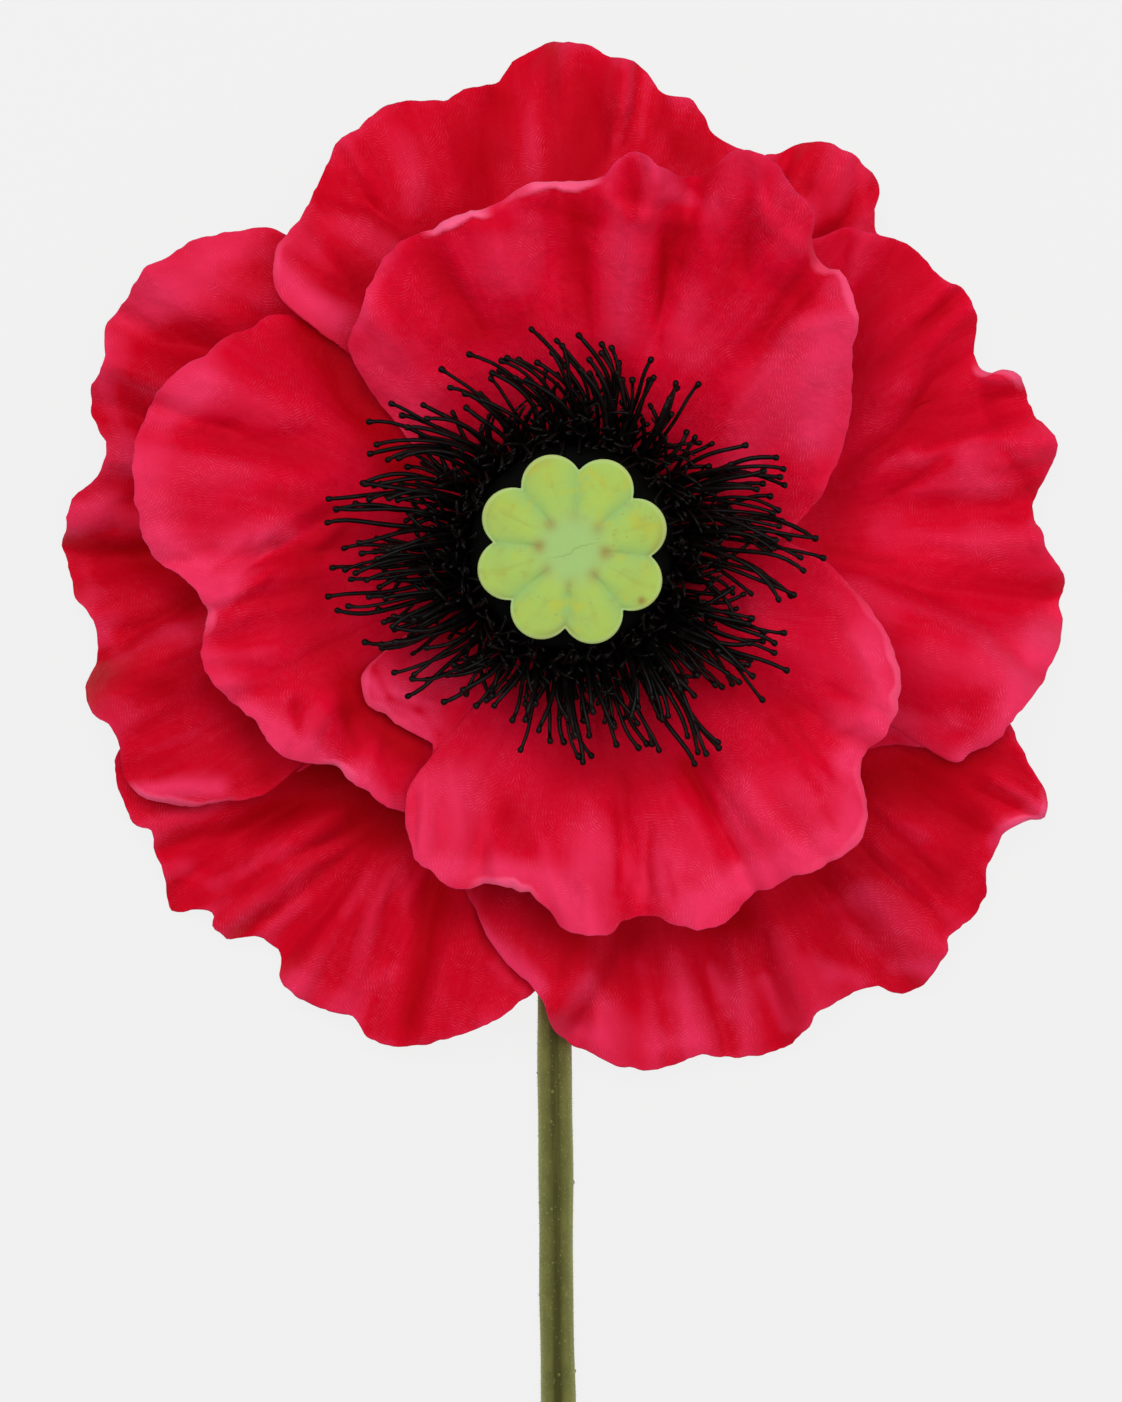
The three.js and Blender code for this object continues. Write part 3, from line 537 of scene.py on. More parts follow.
        ],
    },
    {
        "name": "petal_outer_left",
        "rootHeight": 10.2,
        "bowl": 1.4,
        "rim": [
            [121, 30], [126, 42], [132.2, 49.9], [133.3, 52], [141.3, 57.8], [144.5, 59], [146.2, 60],
            [148.9, 60.5], [150.5, 60.3], [151.8, 60.8], [154.7, 61], [157.1, 59.8], [159.9, 59.5],
            [161.1, 59.9], [164.1, 59], [166.2, 57.4], [167.4, 56.3], [170.5, 56.5], [174.8, 59.5],
            [178.1, 59.9], [179.6, 60.4], [182.2, 59.6], [185, 59.2], [188.7, 57.1], [192.6, 57.4],
            [195.9, 59.8], [197, 60.1], [199.5, 59.5], [200.5, 58.6], [203.3, 58.2], [206.2, 59.1],
            [208.8, 59], [213.6, 54.8], [215.3, 51.6], [218.4, 46.7], [218.5, 41.7], [219, 40.1], [219, 42],
            [222, 30],
        ],
        "lift": [[121, 12], [135, 10], [150, 8], [170, 5.5], [190, 3.4], [205, 5.5], [215, 8], [222, 11]],
        "ruffle": [
            [130, 0], [140, 1], [147, 1.5], [153, -1.8], [158, 1.2], [163, -1.4], [168, 1.4], [173, -1],
            [177, 1.2], [182, -7], [188, 1.2], [195, -2.5], [202, 1], [209, 1.8], [215, 0],
        ],
        "folds": [
            [150, 152, 38, 60, 2.6, -1.4], [157, 159, 38, 60, 2, 0.8], [162, 163.5, 40, 60, 1.8, -1],
            [168, 170, 40, 60, 2, 0.9], [180, 180, 38, 60, 1.8, -1.3], [187, 188, 40, 60, 2.6, 0.8],
            [196, 195, 36, 60, 2.2, -1.2], [208, 207, 42, 58, 1.6, -0.8],
        ],
        "roll": [[121, 0.5], [185, 0.4], [207, 0.5], [210, 1.1], [214, 1], [218, 0.5], [222, 0.5]],
        "creases": [
            [-51, 34.5, -38, 30.5, 3.5, 1.2], [-51, 24, -43.5, 23.5, 2.4, -1.8],
            [-52.5, 29.5, -46.5, 27, 2, 0.6], [-56, 16.5, -52, 14.5, 1.2, 1],
            [-53.5, 19.5, -50, 15, 1.8, -1.2], [-53.5, 10.5, -51, 11, 1.3, 1.1],
            [-51.5, 11, -52, 6, 0.9, -0.9], [-59, 5, -54.5, 6, 1.6, 1.2],
            [-59.5, 1.5, -54.5, 2.5, 0.9, -1.4], [-54.5, 2.5, -48.5, 0.5, 1.4, -1.2],
            [-58, -3.5, -50, -6, 2.4, 1], [-56.5, -9, -44, -10.5, 2, -0.6],
            [-54.5, -11.5, -44, -11.5, 1.6, 0.9], [-56.5, -15, -44, -13.5, 1.4, -1.5],
            [-56.5, -17, -52, -18.5, 1.6, 0.9], [-53.5, -22, -40.5, -22, 3, 0.9],
            [-49, -26.5, -44.5, -22, 0.9, -1.1], [-50, -26.5, -45.5, -23, 1, 0.7],
            [-50, -28.5, -41.5, -28.5, 2, 1.1], [-40.5, -28.5, -33.5, -25.5, 1.6, -0.8],
        ],
    },
    {
        "name": "petal_inner_left",
        "rootHeight": 12.4,
        "bowl": 1.3,
        "rim": [
            [132, 28], [136, 36], [141.8, 44.6], [145.8, 46], [149.4, 48], [151.3, 48.4], [155.2, 50.3],
            [159.5, 51.9], [163.2, 52.6], [164.7, 52.5], [166.3, 52.7], [172.5, 51.7], [179.5, 49.8],
            [182.4, 48.1], [183.2, 46.9], [186.2, 44.5], [187.9, 44], [189.6, 43.3], [196.4, 45.3],
            [200, 45.1], [206.5, 43.1], [208.4, 42.4], [215.3, 41.9], [223.3, 37.6], [225.8, 37.6],
            [229, 37.2], [234.5, 37.4], [236.5, 36.8], [238.6, 36.2], [242, 33], [247, 24],
        ],
        "lift": [[132, 13], [142, 15.5], [155, 20], [170, 22], [190, 22], [210, 21], [230, 19], [247, 16]],
        "ruffle": [
            [145, -0.5], [153, 1], [164, 0.5], [172, 1], [181, -1.2], [188, 1.2], [195, -0.8], [202, 1.2],
            [209, -1], [216, 1], [222, -1.2], [229, 0.8], [236, -0.5],
        ],
        "folds": [
            [154, 157, 30, 53, 3, 0.8], [160, 165, 28, 50, 2, -1.4], [184, 187, 24, 46, 1.6, 1.2],
            [180, 182, 24, 47, 1.4, -1], [190, 192, 24, 45, 1.6, 1], [202, 205, 26, 44, 1.8, -1],
            [212, 214, 26, 43, 1.8, 0.8],
        ],
        "roll": [
            [132, 0.3], [150, 0.6], [187, 0.4], [191, 1], [195, 0.4], [219, 0.6], [223, 1.2], [229, 0.6],
            [247, 0.4],
        ],
        "creases": [
            [-48, 16, -41, 14.5, 1.5, -1.5], [-41, 14.5, -32, 13, 2, -1], [-50, 21, -42.5, 20, 3, 1.2],
            [-50, 11.5, -41.5, 8.5, 2.2, 1], [-42.5, 9.5, -29.5, 8, 1.5, 0.6], [-48, 0, -41, -1, 2.2, 1.3],
            [-40.5, -4, -35, 0, 0.9, -1.4], [-35, 0, -28, 4.5, 0.9, -1], [-42, -6.5, -36.5, -3.5, 0.9, 1.2],
            [-36.5, -3.5, -28, 2.5, 1, 1], [-39, 0.5, -28.5, 6, 1.4, 0.9], [-39, -8.5, -29.5, -5, 3, -1.3],
            [-42.5, -13, -36.5, -12, 1.2, 0.9], [-40.5, -16, -28.5, -14.5, 1.2, 0.8],
            [-42, -14.5, -37, -14, 0.8, -0.7], [-38, -18.5, -28.5, -16.5, 1.6, 0.7],
            [-35.5, -22, -34, -18, 1.3, 1.1], [-33, -23, -32, -18.5, 1, -1.1],
            [-30.5, -23, -29, -19.5, 1.6, 1.2], [-27, -25, -26, -20, 1.3, -1.1],
            [-24, -27.5, -23, -22.5, 1.2, 0.9], [-21, -29.5, -22, -23.5, 1.2, -0.8],
            [-31, 26, -26, 17.5, 3, -1.5], [-39, 24.5, -34.5, 26, 2, 0.6],
        ],
    },
    {
        "name": "petal_outer_top",
        "rootHeight": 10.4,
        "bowl": 1.6,
        "rim": [
            [56, 30], [60, 42], [64.7, 51.1], [67.2, 51.2], [71.4, 51.8], [73.4, 53.7], [75.3, 54.9],
            [78.1, 54.9], [79.4, 55.3], [80.3, 56.3], [83.9, 58.5], [85.6, 58.2], [87.4, 59.3],
            [91.9, 60.2], [96.9, 58.4], [97.5, 57.6], [99.7, 55.9], [102.7, 56], [105.4, 55.2],
            [107.5, 55.8], [111.8, 56.8], [113.8, 56.7], [116.6, 55.8], [120.1, 55.4], [122.2, 54],
            [130.4, 50.1], [134.5, 49.5], [138.3, 46.8], [139.3, 44.8], [138.7, 39.9], [135.1, 36.6],
            [135, 33], [132, 26],
        ],
        "lift": [[56, 10], [68, 9], [80, 7], [95, 4.4], [110, 6.5], [122, 10], [132, 16], [141, 18]],
        "ruffle": [
            [66, 0.5], [72, -1.5], [77, 1], [81, -1.2], [88, 1.8], [96, -7], [103, 1.4], [112, -1],
            [119, 1.2], [127, -0.8], [135, 0.5],
        ],
        "folds": [
            [72, 70, 46, 56, 1.8, -1], [78, 76, 44, 57, 1.8, 0.8], [84, 84, 42, 60, 1.6, 1.4],
            [88.5, 89, 42, 60, 2.6, -1.2], [95, 96.5, 40, 58, 2.4, 0.9], [103, 105, 40, 56, 3, -1.4],
            [113, 114, 40, 57, 3, 1], [122, 124, 40, 52, 2, -1], [130, 133, 38, 50, 2.4, 0.8],
        ],
        "roll": [[56, 0.4], [130, 0.5], [135, 0.8], [139, 0.6], [141, 0.4]],
        "creases": [
            [-9.5, 53.5, -10, 38, 2.6, -2], [-4.5, 57.5, -4.5, 41, 1.8, 1.2],
            [3.5, 57.5, 3.5, 46, 2.8, -1.8], [6.5, 58, 6, 52, 0.8, 1.6], [6, 52, 4.5, 46, 0.9, 1.2],
            [9, 56, 8.5, 50, 1.6, 0.8], [11, 53, 12.5, 44.5, 1.6, -1.1], [14.5, 52.5, 17, 47, 1.8, 0.9],
            [-20.5, 52, -18.5, 41, 3.2, 1.2], [-15, 52.5, -14.5, 42.5, 2, 0.7],
            [-27, 47, -24, 40.5, 1, -1.3], [-24, 40.5, -20, 36, 1.1, -1.1], [-26, 47.5, -22, 41, 1.2, 0.8],
            [-28.5, 43.5, -25.5, 38, 1.4, 0.9], [-34, 33.5, -30, 28, 1.5, 1.1],
            [-30, 28, -27, 27.5, 1.2, 0.8], [-32, 34, -28, 30.5, 1.8, -1.1],
            [-22, 35.5, -25, 29.5, 1.8, -0.9], [-1, 59.5, -1.5, 52, 1.6, 0.6],
        ],
    },
    {
        "name": "petal_inner_bottom",
        "rootHeight": 12.8,
        "bowl": 1.3,
        "rim": [
            [207, 21], [211.2, 28.7], [216.1, 30.1], [218.8, 30], [221.3, 29.3], [224.3, 29.2],
            [234.7, 28.4], [236.1, 29.6], [235.9, 34.3], [240.7, 39.1], [244.5, 41.3], [246.4, 41.3],
            [250.1, 42.3], [252.5, 41.9], [256.2, 40.5], [261.3, 40.5], [263, 40.4], [264.4, 41.3],
            [267.3, 43.2], [268.6, 44.5], [274.9, 45.6], [278.2, 44], [282.8, 44.2], [285.7, 46.1],
            [290.1, 47.5], [294.2, 46.8], [296.5, 46], [298.6, 45.8], [301.2, 46.2], [303.9, 46.2],
            [306.2, 47.2], [308.1, 47.4], [312.2, 48], [316.1, 47.5], [318.1, 46.5], [322.3, 42.6],
            [325.8, 41.8], [327.9, 42.6], [335.9, 42.1], [338, 41.3], [342.4, 39.5], [348.4, 35.7],
            [356.8, 29.9], [362, 25],
        ],
        "lift": [
            [207, 21], [222, 22.5], [236, 21.5], [250, 22], [270, 22.5], [290, 23], [315, 24.5], [340, 24],
            [362, 19],
        ],
        "ruffle": [
            [212, 0.8], [220, -0.5], [229, 1], [236, -0.8], [243, 0.8], [250, -0.8], [257, 1.5],
            [265, -0.8], [273, 1.2], [281, -1.4], [288, 1.2], [298, -0.8], [308, 1.2], [316, 1],
            [324, -1.6], [332, 1], [345, 0.5],
        ],
        "folds": [
            [252, 253, 26, 42, 2.4, -0.9], [262, 262, 26, 41, 2, 0.8], [274, 272, 24, 45, 2.4, 0.7],
            [283, 280, 22, 45, 1.6, -1.1], [300, 297, 22, 46, 2, -1.1], [307, 305, 24, 47, 2, 0.8],
            [325, 325, 26, 43, 2, -0.9],
        ],
        "roll": [
            [207, 0.8], [222, 0.8], [236, 0.5], [252, 0.6], [256, 1.2], [262, 1.2], [266, 0.5], [300, 0.6],
            [318, 0.9], [328, 0.5], [338, 1.1], [346, 0.8], [362, 0.4],
        ],
        "creases": [
            [-23.5, -16.5, -22, -18, 0.9, 1.6], [-21, -18.5, -17, -22, 0.9, -1.4],
            [-20.5, -16.5, -15.5, -19, 1.2, 1.4], [-16.5, -23, -14.5, -18, 1.1, -1.6],
            [-16, -25, -14, -22.5, 1, -0.6], [-17.5, -28.5, -17.5, -35, 1, 1],
            [-18.5, -29.5, -18.5, -34.5, 0.6, -0.6], [-14, -26.5, -13, -35.5, 1.3, 0.8],
            [-15.5, -29.5, -15.5, -35.5, 0.8, -0.8], [-9, -36.5, -8.5, -39.5, 1.1, 1],
            [-11, -35, -10.5, -39, 1.2, -0.9], [-3, -35.5, -1.5, -41, 1.4, 1.1],
            [-5, -35.5, -4.5, -39, 1.1, -0.9], [5.5, -31, 5.5, -38, 0.8, -1.1], [7, -31.5, 7, -38, 1, 0.7],
            [9, -33.5, 9.5, -40, 0.8, -0.8], [14, -26.5, 19, -35.5, 1.1, -1],
            [12, -28.5, 16.5, -36.5, 1.2, 0.7], [15.5, -23.5, 22, -33, 1.4, 0.7],
            [1, -38, 2, -44, 1.8, 0.8], [8.5, -39, 9, -43, 1.6, -1.1], [15, -39, 15.5, -44, 1.8, 0.8],
            [23.5, -29.5, 27, -36.5, 1.6, -0.7], [25.5, -28.5, 31.5, -34.5, 1.6, 0.8],
            [30.5, -25, 33.5, -27.5, 1.4, -0.7], [33, -10.5, 36.5, -16.5, 1.4, 1],
            [31, -16.5, 36.5, -20, 1.2, -0.9], [31.5, -21, 35, -20.5, 1.3, 1.1],
            [28.5, -6, 34, -9.5, 1.6, -0.8], [22, -8.5, 31.5, -15.5, 3, 0.8],
        ],
    },
    {
        "name": "petal_inner_top",
        "rootHeight": 13,
        "bowl": 1.4,
        "rim": [
            [-2, 18], [3, 24.5], [10.9, 29.2], [16, 31.7], [17.7, 32.7], [28.2, 37.2], [35.6, 40.3],
            [38.7, 42.8], [45.7, 45], [47.2, 44.4], [48.8, 44.1], [51.7, 44.9], [54.2, 48.2], [59, 49.4],
            [62.9, 50.8], [67.4, 50.1], [70.6, 46.3], [75.5, 45.2], [80.4, 46.8], [83.2, 45.6],
            [85.6, 43.3], [93.5, 42.8], [98.3, 42.5], [102.2, 41.2], [110.5, 41.1], [113.4, 40.6],
            [116.3, 41], [119.3, 41], [124.5, 40], [132.4, 36.9], [137.4, 35.6], [142.5, 28.9],
            [143.6, 26.7], [147, 21.7], [146.4, 19.4], [147, 18],
        ],
        "lift": [[-2, 20], [15, 25], [35, 29], [60, 30.5], [85, 30], [110, 28], [130, 25], [147, 19]],
        "ruffle": [
            [20, 0.5], [36, 1], [44, 1.2], [50, -1.6], [56, 1], [64, 1.8], [71, -1.6], [79, 1.6],
            [86, -1.4], [96, 1], [105, -0.6], [115, 0.8], [126, -0.4], [138, 0.4],
        ],
        "folds": [
            [34, 39, 24, 46, 2.4, 1], [46, 49, 26, 46, 1.8, -1.3], [58, 63, 28, 50, 2, -1],
            [68, 72, 26, 47, 1.6, -1.4], [76, 78, 26, 47, 2.2, 1.2], [90, 91, 26, 43, 2.2, -1.2],
            [104, 106, 26, 42, 2.6, 0.9], [114, 117, 26, 41, 2, -1.1], [126, 130, 26, 38, 2.4, 0.8],
        ],
        "roll": [
            [-2, 0.3], [36, 0.5], [41, 1], [47, 1], [54, 0.5], [84, 0.5], [88, 1.4], [95, 1.5], [98, 0.9],
            [103, 0.6], [106, 1.6], [112, 1.7], [116, 0.6], [147, 0.3],
        ],
        "creases": [
            [-2, 40.5, -4, 29.5, 2, -1.2], [-15.5, 36, -11.5, 26, 2.2, -1.2], [-8.5, 36.5, -6, 27, 2, 0.7],
            [2, 38, 1.5, 27, 1.4, -0.7], [6.5, 37, 6.5, 26, 1.8, 0.9], [11, 39.5, 10.5, 24.5, 1, -1.2],
            [15, 37.5, 14, 26, 2.5, -0.8], [8, 44.5, 7.5, 40.5, 1.4, -1.3], [10, 45.5, 10.5, 41, 1, 1.2],
            [4.5, 41, 8, 38.5, 1.2, 1], [8, 38.5, 15, 38.5, 1.3, 0.8], [20, 43, 20.5, 35.5, 1.8, -1.3],
            [22, 44.5, 22.5, 39.5, 1, 1.1], [22.5, 39.5, 26.5, 35.5, 1.6, 1.2],
            [15, 40.5, 17.5, 36.5, 2, -0.8], [33, 27.5, 25.5, 25, 1.2, 1.2], [25.5, 25, 19, 15, 1.6, 1.2],
            [27, 17.5, 25.5, 9.5, 3.5, -0.8], [22, 31.5, 29.5, 29.5, 2.5, -0.8],
            [-20.5, 26, -18, 19, 3.5, 1.2], [-24.5, 29.5, -22, 23.5, 1.2, 0.5],
            [27.5, 41, 28.5, 35.5, 1, -0.8],
        ],
    },
]

# Painted light and shade on the cloth: [x, y, x, y, half width, amount] along a line, painted light above 0,
# painted shade below.
petalLightAndShade = {
    "petal_outer_top_right": [
        [24, 46, 23, 40, 1.5, 0.4], [27, 40, 25, 36, 1.5, 0.5], [28, 45, 29, 42, 2, -0.15],
        [34, 44, 34, 41, 2, 0.3], [31, 37, 31, 35, 1.5, -0.5], [34, 38, 34, 36, 1.5, 0.5],
    ],
    "petal_outer_bottom_left": [
        [-30, -26, -20, -32, 3.5, -1], [-37, -31, -22, -33, 3, -0.7], [-16.5, -40, -19, -56, 1.6, -0.7],
        [-15, -42, -8, -44, 2.5, -0.7], [-12, -52, -14.5, -47, 2.2, -0.2], [-26, -55, -33, -51, 2, 0.4],
        [-46, -38, -40, -36, 2, 0.15], [-46, -34, -40, -32, 1.5, -0.3], [-40, -43, -44, -41, 2, 0.1],
        [-46, -38, -42, -40, 1.2, 0.3], [-42, -44, -36, -38, 1.2, -0.35], [-36, -46, -32, -41, 1.3, 0.35],
        [-32, -49, -28, -44, 1, -0.3], [-25, -53, -22, -50, 1.5, 0.3], [-10.5, -47, -9, -43, 1.3, -0.35],
    ],
    "petal_outer_bottom_right": [
        [-11, -45, -4, -51.5, 1.2, 0.8], [-3, -44, 2, -47, 2.5, -0.8], [-1, -49, -2, -54, 1.5, -0.4],
        [5, -47, 20, -44, 2, -0.5], [20, -43, 33, -37, 3, -0.5], [34, -27, 48, -25, 3, -0.9],
        [35, -30, 48, -30, 2.5, -0.4], [3, -55, 9, -59, 3.2, 0.5], [13, -53, 16, -58, 2, 0.45],
        [20, -53, 22, -58, 2.2, 0.45], [50, -34.5, 55, -31, 1.2, 0.8], [36, -45, 38, -42, 4, 0.2],
        [44, -38, 48, -32, 2.5, -0.4], [-1, -57, 2, -57.5, 1.6, 0.7], [11, -58.5, 14, -58, 1.4, 0.4],
        [16.5, -50, 18.5, -55, 1, 0.5], [23, -51, 25.5, -56.5, 1.1, 0.7], [31, -50, 34, -51, 1.4, 0.7],
        [38, -49.5, 42, -49.5, 1.3, 0.6], [30, -42, 34, -41, 2, 0.45], [33, -45, 36, -47.5, 1.2, 0.35],
        [16, -47, 18, -52, 1.3, 0.35], [4, -47, 7, -48.5, 1.5, 0.4], [-1, -50, 0.5, -46, 1.3, -0.35],
        [2, -51, 4, -54, 1.2, 0.35], [25.5, -43, 27.5, -47, 1.2, -0.35], [39, -37, 44, -41, 1.2, -0.35],
        [51, -24.5, 53, -27, 1.2, -0.3],
    ],
    "petal_outer_right": [
        [34, 28, 31, 2, 3, -0.4], [43, 27, 40, 12, 5, -0.25], [47, 10, 48, 3, 3, 0.3],
        [42, 8, 38, 4, 3, 0.3], [57, -9, 53, -18, 2.8, 1], [50, -14, 50, -11, 2.6, 0.2],
        [42, -13, 45, -12, 3, 0.2], [46, -24.5, 52, -20, 1.2, 0.6], [40, -22.5, 46, -25, 1, 0.3],
        [42, -20, 50, -17, 1.5, -0.3], [38, 34, 46, 28, 3, -0.25], [50, 17, 52, 14, 2, -0.2],
        [34, 20.5, 44, 28.5, 1.1, -0.3], [36, 17, 49, 18.5, 0.9, -0.3], [37, 10, 48, 12.5, 0.7, 0.25],
        [38, 7, 45, 10.5, 0.6, -0.3], [30, 0, 38, -1.5, 0.6, -0.3], [40, -9, 46, -11, 2, -0.4],
        [42, 12, 50, 14, 1.4, -0.4], [47, 7.5, 52, 7, 1.6, 0.3], [48, -7.5, 54, -9, 2, 0.3],
        [37.5, -20.5, 45, -20, 1.5, 0.5],
    ],
    "petal_outer_left": [
        [-40, 35, -53, 27, 3.4, 0.7], [-37, 30, -47, 25, 2.6, -0.12], [-56, -6.5, -46, -6.5, 1.6, -0.4],
        [-53, 13, -52, 10, 1.4, 0.5], [-56, 6, -58, 3, 2.4, 0.5], [-56, 22, -55, 18, 2, 0.2],
        [-57, 1, -50, -1, 1.7, -0.5], [-50, -1, -44, -6, 2.4, -0.5], [-50, -14, -44, -12, 2.4, -0.5],
        [-56, -15, -48, -16.5, 1.8, -0.7], [-38, -21, -43, -16, 2, -0.6], [-37, -24, -36, -27, 2, -0.6],
        [-50, -24, -44, -22, 1, 0.25], [-51, -29, -42, -28, 1.3, 0.9], [-56, -6, -54, -10, 2.5, 0.15],
        [-55.5, 19, -54, 15.5, 1.4, 0.5], [-52, 29, -49, 27.5, 1.8, 0.3],
        [-51.5, 21, -44.5, 21.5, 1.6, -0.45], [-59, 2, -57, 0, 1, 0.3], [-58, -2, -57, -5, 1.3, 0.45],
        [-55.5, -10, -54, -12.5, 1.2, 0.4], [-48, -9, -45, -11, 1.5, 0.3], [-41, 33, -38, 33, 1.5, -0.35],
    ],
    "petal_inner_left": [
        [-43.5, 19.5, -48, 15, 2.4, 0.85], [-50, 10, -49, 2, 2.5, 0.5], [-40, 0, -37, 1, 1.5, 0.35],
        [-48, -1, -42, -5, 3, 0.95], [-43, -2, -34, 1, 2.6, 0.5], [-42, -6, -36, 0, 0.7, 0.45],
        [-36, 0, -29.5, 3, 0.7, 0.35], [-42.5, -3.5, -37.5, 1.5, 0.6, -0.4], [-41, -8, -32, 0, 0.9, -0.4],
        [-49, 14.5, -41, 13, 0.8, -0.2], [-41, 13, -31, 10.5, 1.1, -0.2],
        [-32.6, -18.8, -31.9, -22.3, 0.7, -0.5], [-27.4, -18.8, -25.5, -23, 0.7, -0.4],
        [-31, 26, -20, 9, 3, -1.1], [-32, -5, -27, -12, 5, -0.5], [-26, -17, -19, -23.5, 2.6, -1.3],
        [-38, -20, -33, -24, 2.3, 1.2], [-33, -24, -26, -27, 2, 0.9], [-26, -27, -21, -30, 1.2, 0.5],
        [-43, -12, -38, -20, 1.5, 0.4], [-30, 8, -26, 2, 4, -0.3], [-40, 22, -33, 18, 2.4, -0.2],
        [-32, -2, -28, 2, 2, -0.5], [-35, 6, -31, 4.5, 2, -0.4],
    ],
    "petal_outer_top": [
        [-19.5, 48, -19, 41, 2.2, 0.2], [-24.5, 47, -21.5, 42, 1.5, -0.35], [-36, 34, -28, 27, 1.9, 0.8],
        [-12, 54, -12, 42, 3, -0.5], [-5, 57, -5, 44, 1.6, 0.25], [1, 56, 1, 45, 3.4, -0.45],
        [9, 56, 8.2, 49, 1, 0.5], [5.5, 56, 5, 50, 1, -0.3], [-8, 53, -8, 47, 1.8, -0.5],
        [11, 50, 12.5, 47, 1.2, -0.3], [11, 50, 16, 46, 2.5, -0.45], [-2, 60, -1, 58, 2, 0.25],
        [-27, 34, -22, 29, 1.8, -0.35], [-28, 45, -23, 40, 1, 0.15], [-34.5, 28.5, -31, 26.5, 1.4, 0.35],
    ],
    "petal_inner_bottom": [
        [-23, -16, -17, -21, 2, 0.9], [31, -6, 36, -12, 2.2, 0.15], [35, -10, 37, -18, 2.5, 0.65],
        [36, -20, 32, -25, 1.8, 0.75], [33, -25, 33, -34, 2, 0.65], [30, -35, 20, -39, 2.5, 0.85],
        [20, -39, 14, -43, 2, 0.8], [1, -44, -2, -40, 2.5, 1], [-5, -38, -16, -38, 1.8, 0.9],
        [-18, -35, -17, -28, 2.6, 0.6], [-13, -28, -13, -34, 3, 0.4], [3, -36, 8, -38, 4, 0.5],
        [12, -38, 14, -40, 3, 0.3], [16, -30, 26, -30, 4, 0.25], [-7, -32, -5, -36, 2.6, -0.45],
        [0, -26, 15, -27, 3.8, -0.55], [18, -14, 25, -20, 4, -0.4], [-17, -14, -14, -17, 2, 0.3],
        [13, -25, 19.5, -36.5, 0.6, -0.5], [5.7, -31.5, 5.2, -40.5, 0.5, -0.4],
        [7.3, -33.5, 7.8, -39, 0.5, -0.3], [9.2, -34, 9.4, -38.5, 0.5, -0.3],
        [11.3, -37, 12, -40.5, 0.5, -0.3], [23.5, -20.5, 29, -28.5, 0.6, -0.3],
        [26.5, -21, 30.5, -27, 0.5, -0.25], [29.5, -30.5, 31, -33, 0.6, -0.3],
        [-23.4, -14, -21.5, -17.6, 0.55, -0.6], [-21.5, -17.6, -18, -19, 0.5, -0.5],
        [-18, -19, -15.8, -21.8, 0.6, -0.4], [28.5, -20, 31.5, -21, 1.9, 0.45],
        [18, -33, 20, -36, 1.5, 0.45], [16, -27, 20.5, -34, 1, 0.35], [-10.5, -30, -10, -34, 1.6, 0.35],
        [-3.5, -35, -3, -38, 1.3, 0.3], [8, -38, 8.5, -41, 1.3, 0.3], [13.5, -39, 17, -41, 1.2, -0.3],
    ],
    "petal_inner_top": [
        [-23.5, 22, -19, 16, 3.4, 0.55], [-21, 29, -20, 26, 2, -0.35], [-25, 26, -22, 34, 1, 0.4],
        [-17, 34, -13, 27, 2.5, -0.4], [-7, 36, -5, 31, 3, 0.25], [-12, 25, -5, 27, 2.5, -0.5],
        [1, 40, 0, 28, 2, -0.5], [5, 36, 6, 26, 2.5, 0.35], [12, 37, 11, 31, 2.5, -0.5],
        [15, 34, 17, 31, 2, -0.3], [13, 30, 14, 23, 2.5, 0.3], [12, 42, 13, 41, 1.5, 0.5],
        [9.5, 45, 10, 43.5, 0.9, 0.5], [6.8, 44.8, 7.6, 41.2, 0.9, -0.6], [4.2, 42.5, 5.2, 45.8, 0.8, 0.35],
        [7, 47.4, 8.5, 47, 0.7, 0.4], [10.8, 36, 10, 27, 0.6, -0.3], [1.6, 35, 2.2, 27, 0.7, -0.3],
        [-5, 40.6, 3, 38.4, 1, -0.35], [15, 45, 16, 44, 1.5, -0.3], [12.5, 41.5, 16, 40, 1.3, 0.45],
        [6.6, 41, 7, 39, 1, -0.45], [20, 38, 24, 30, 4, -0.25], [31, 27, 28.5, 14, 3.4, 1],
        [24, 21, 20, 10, 3, 0.4], [31.5, 34, 33, 29.5, 0.7, 0.6], [27.5, 29, 31, 28, 1.5, -0.6],
        [10, 20, 17, 16, 3, -0.2], [-14, 38, -8, 38, 1.4, -0.3],
    ],
}


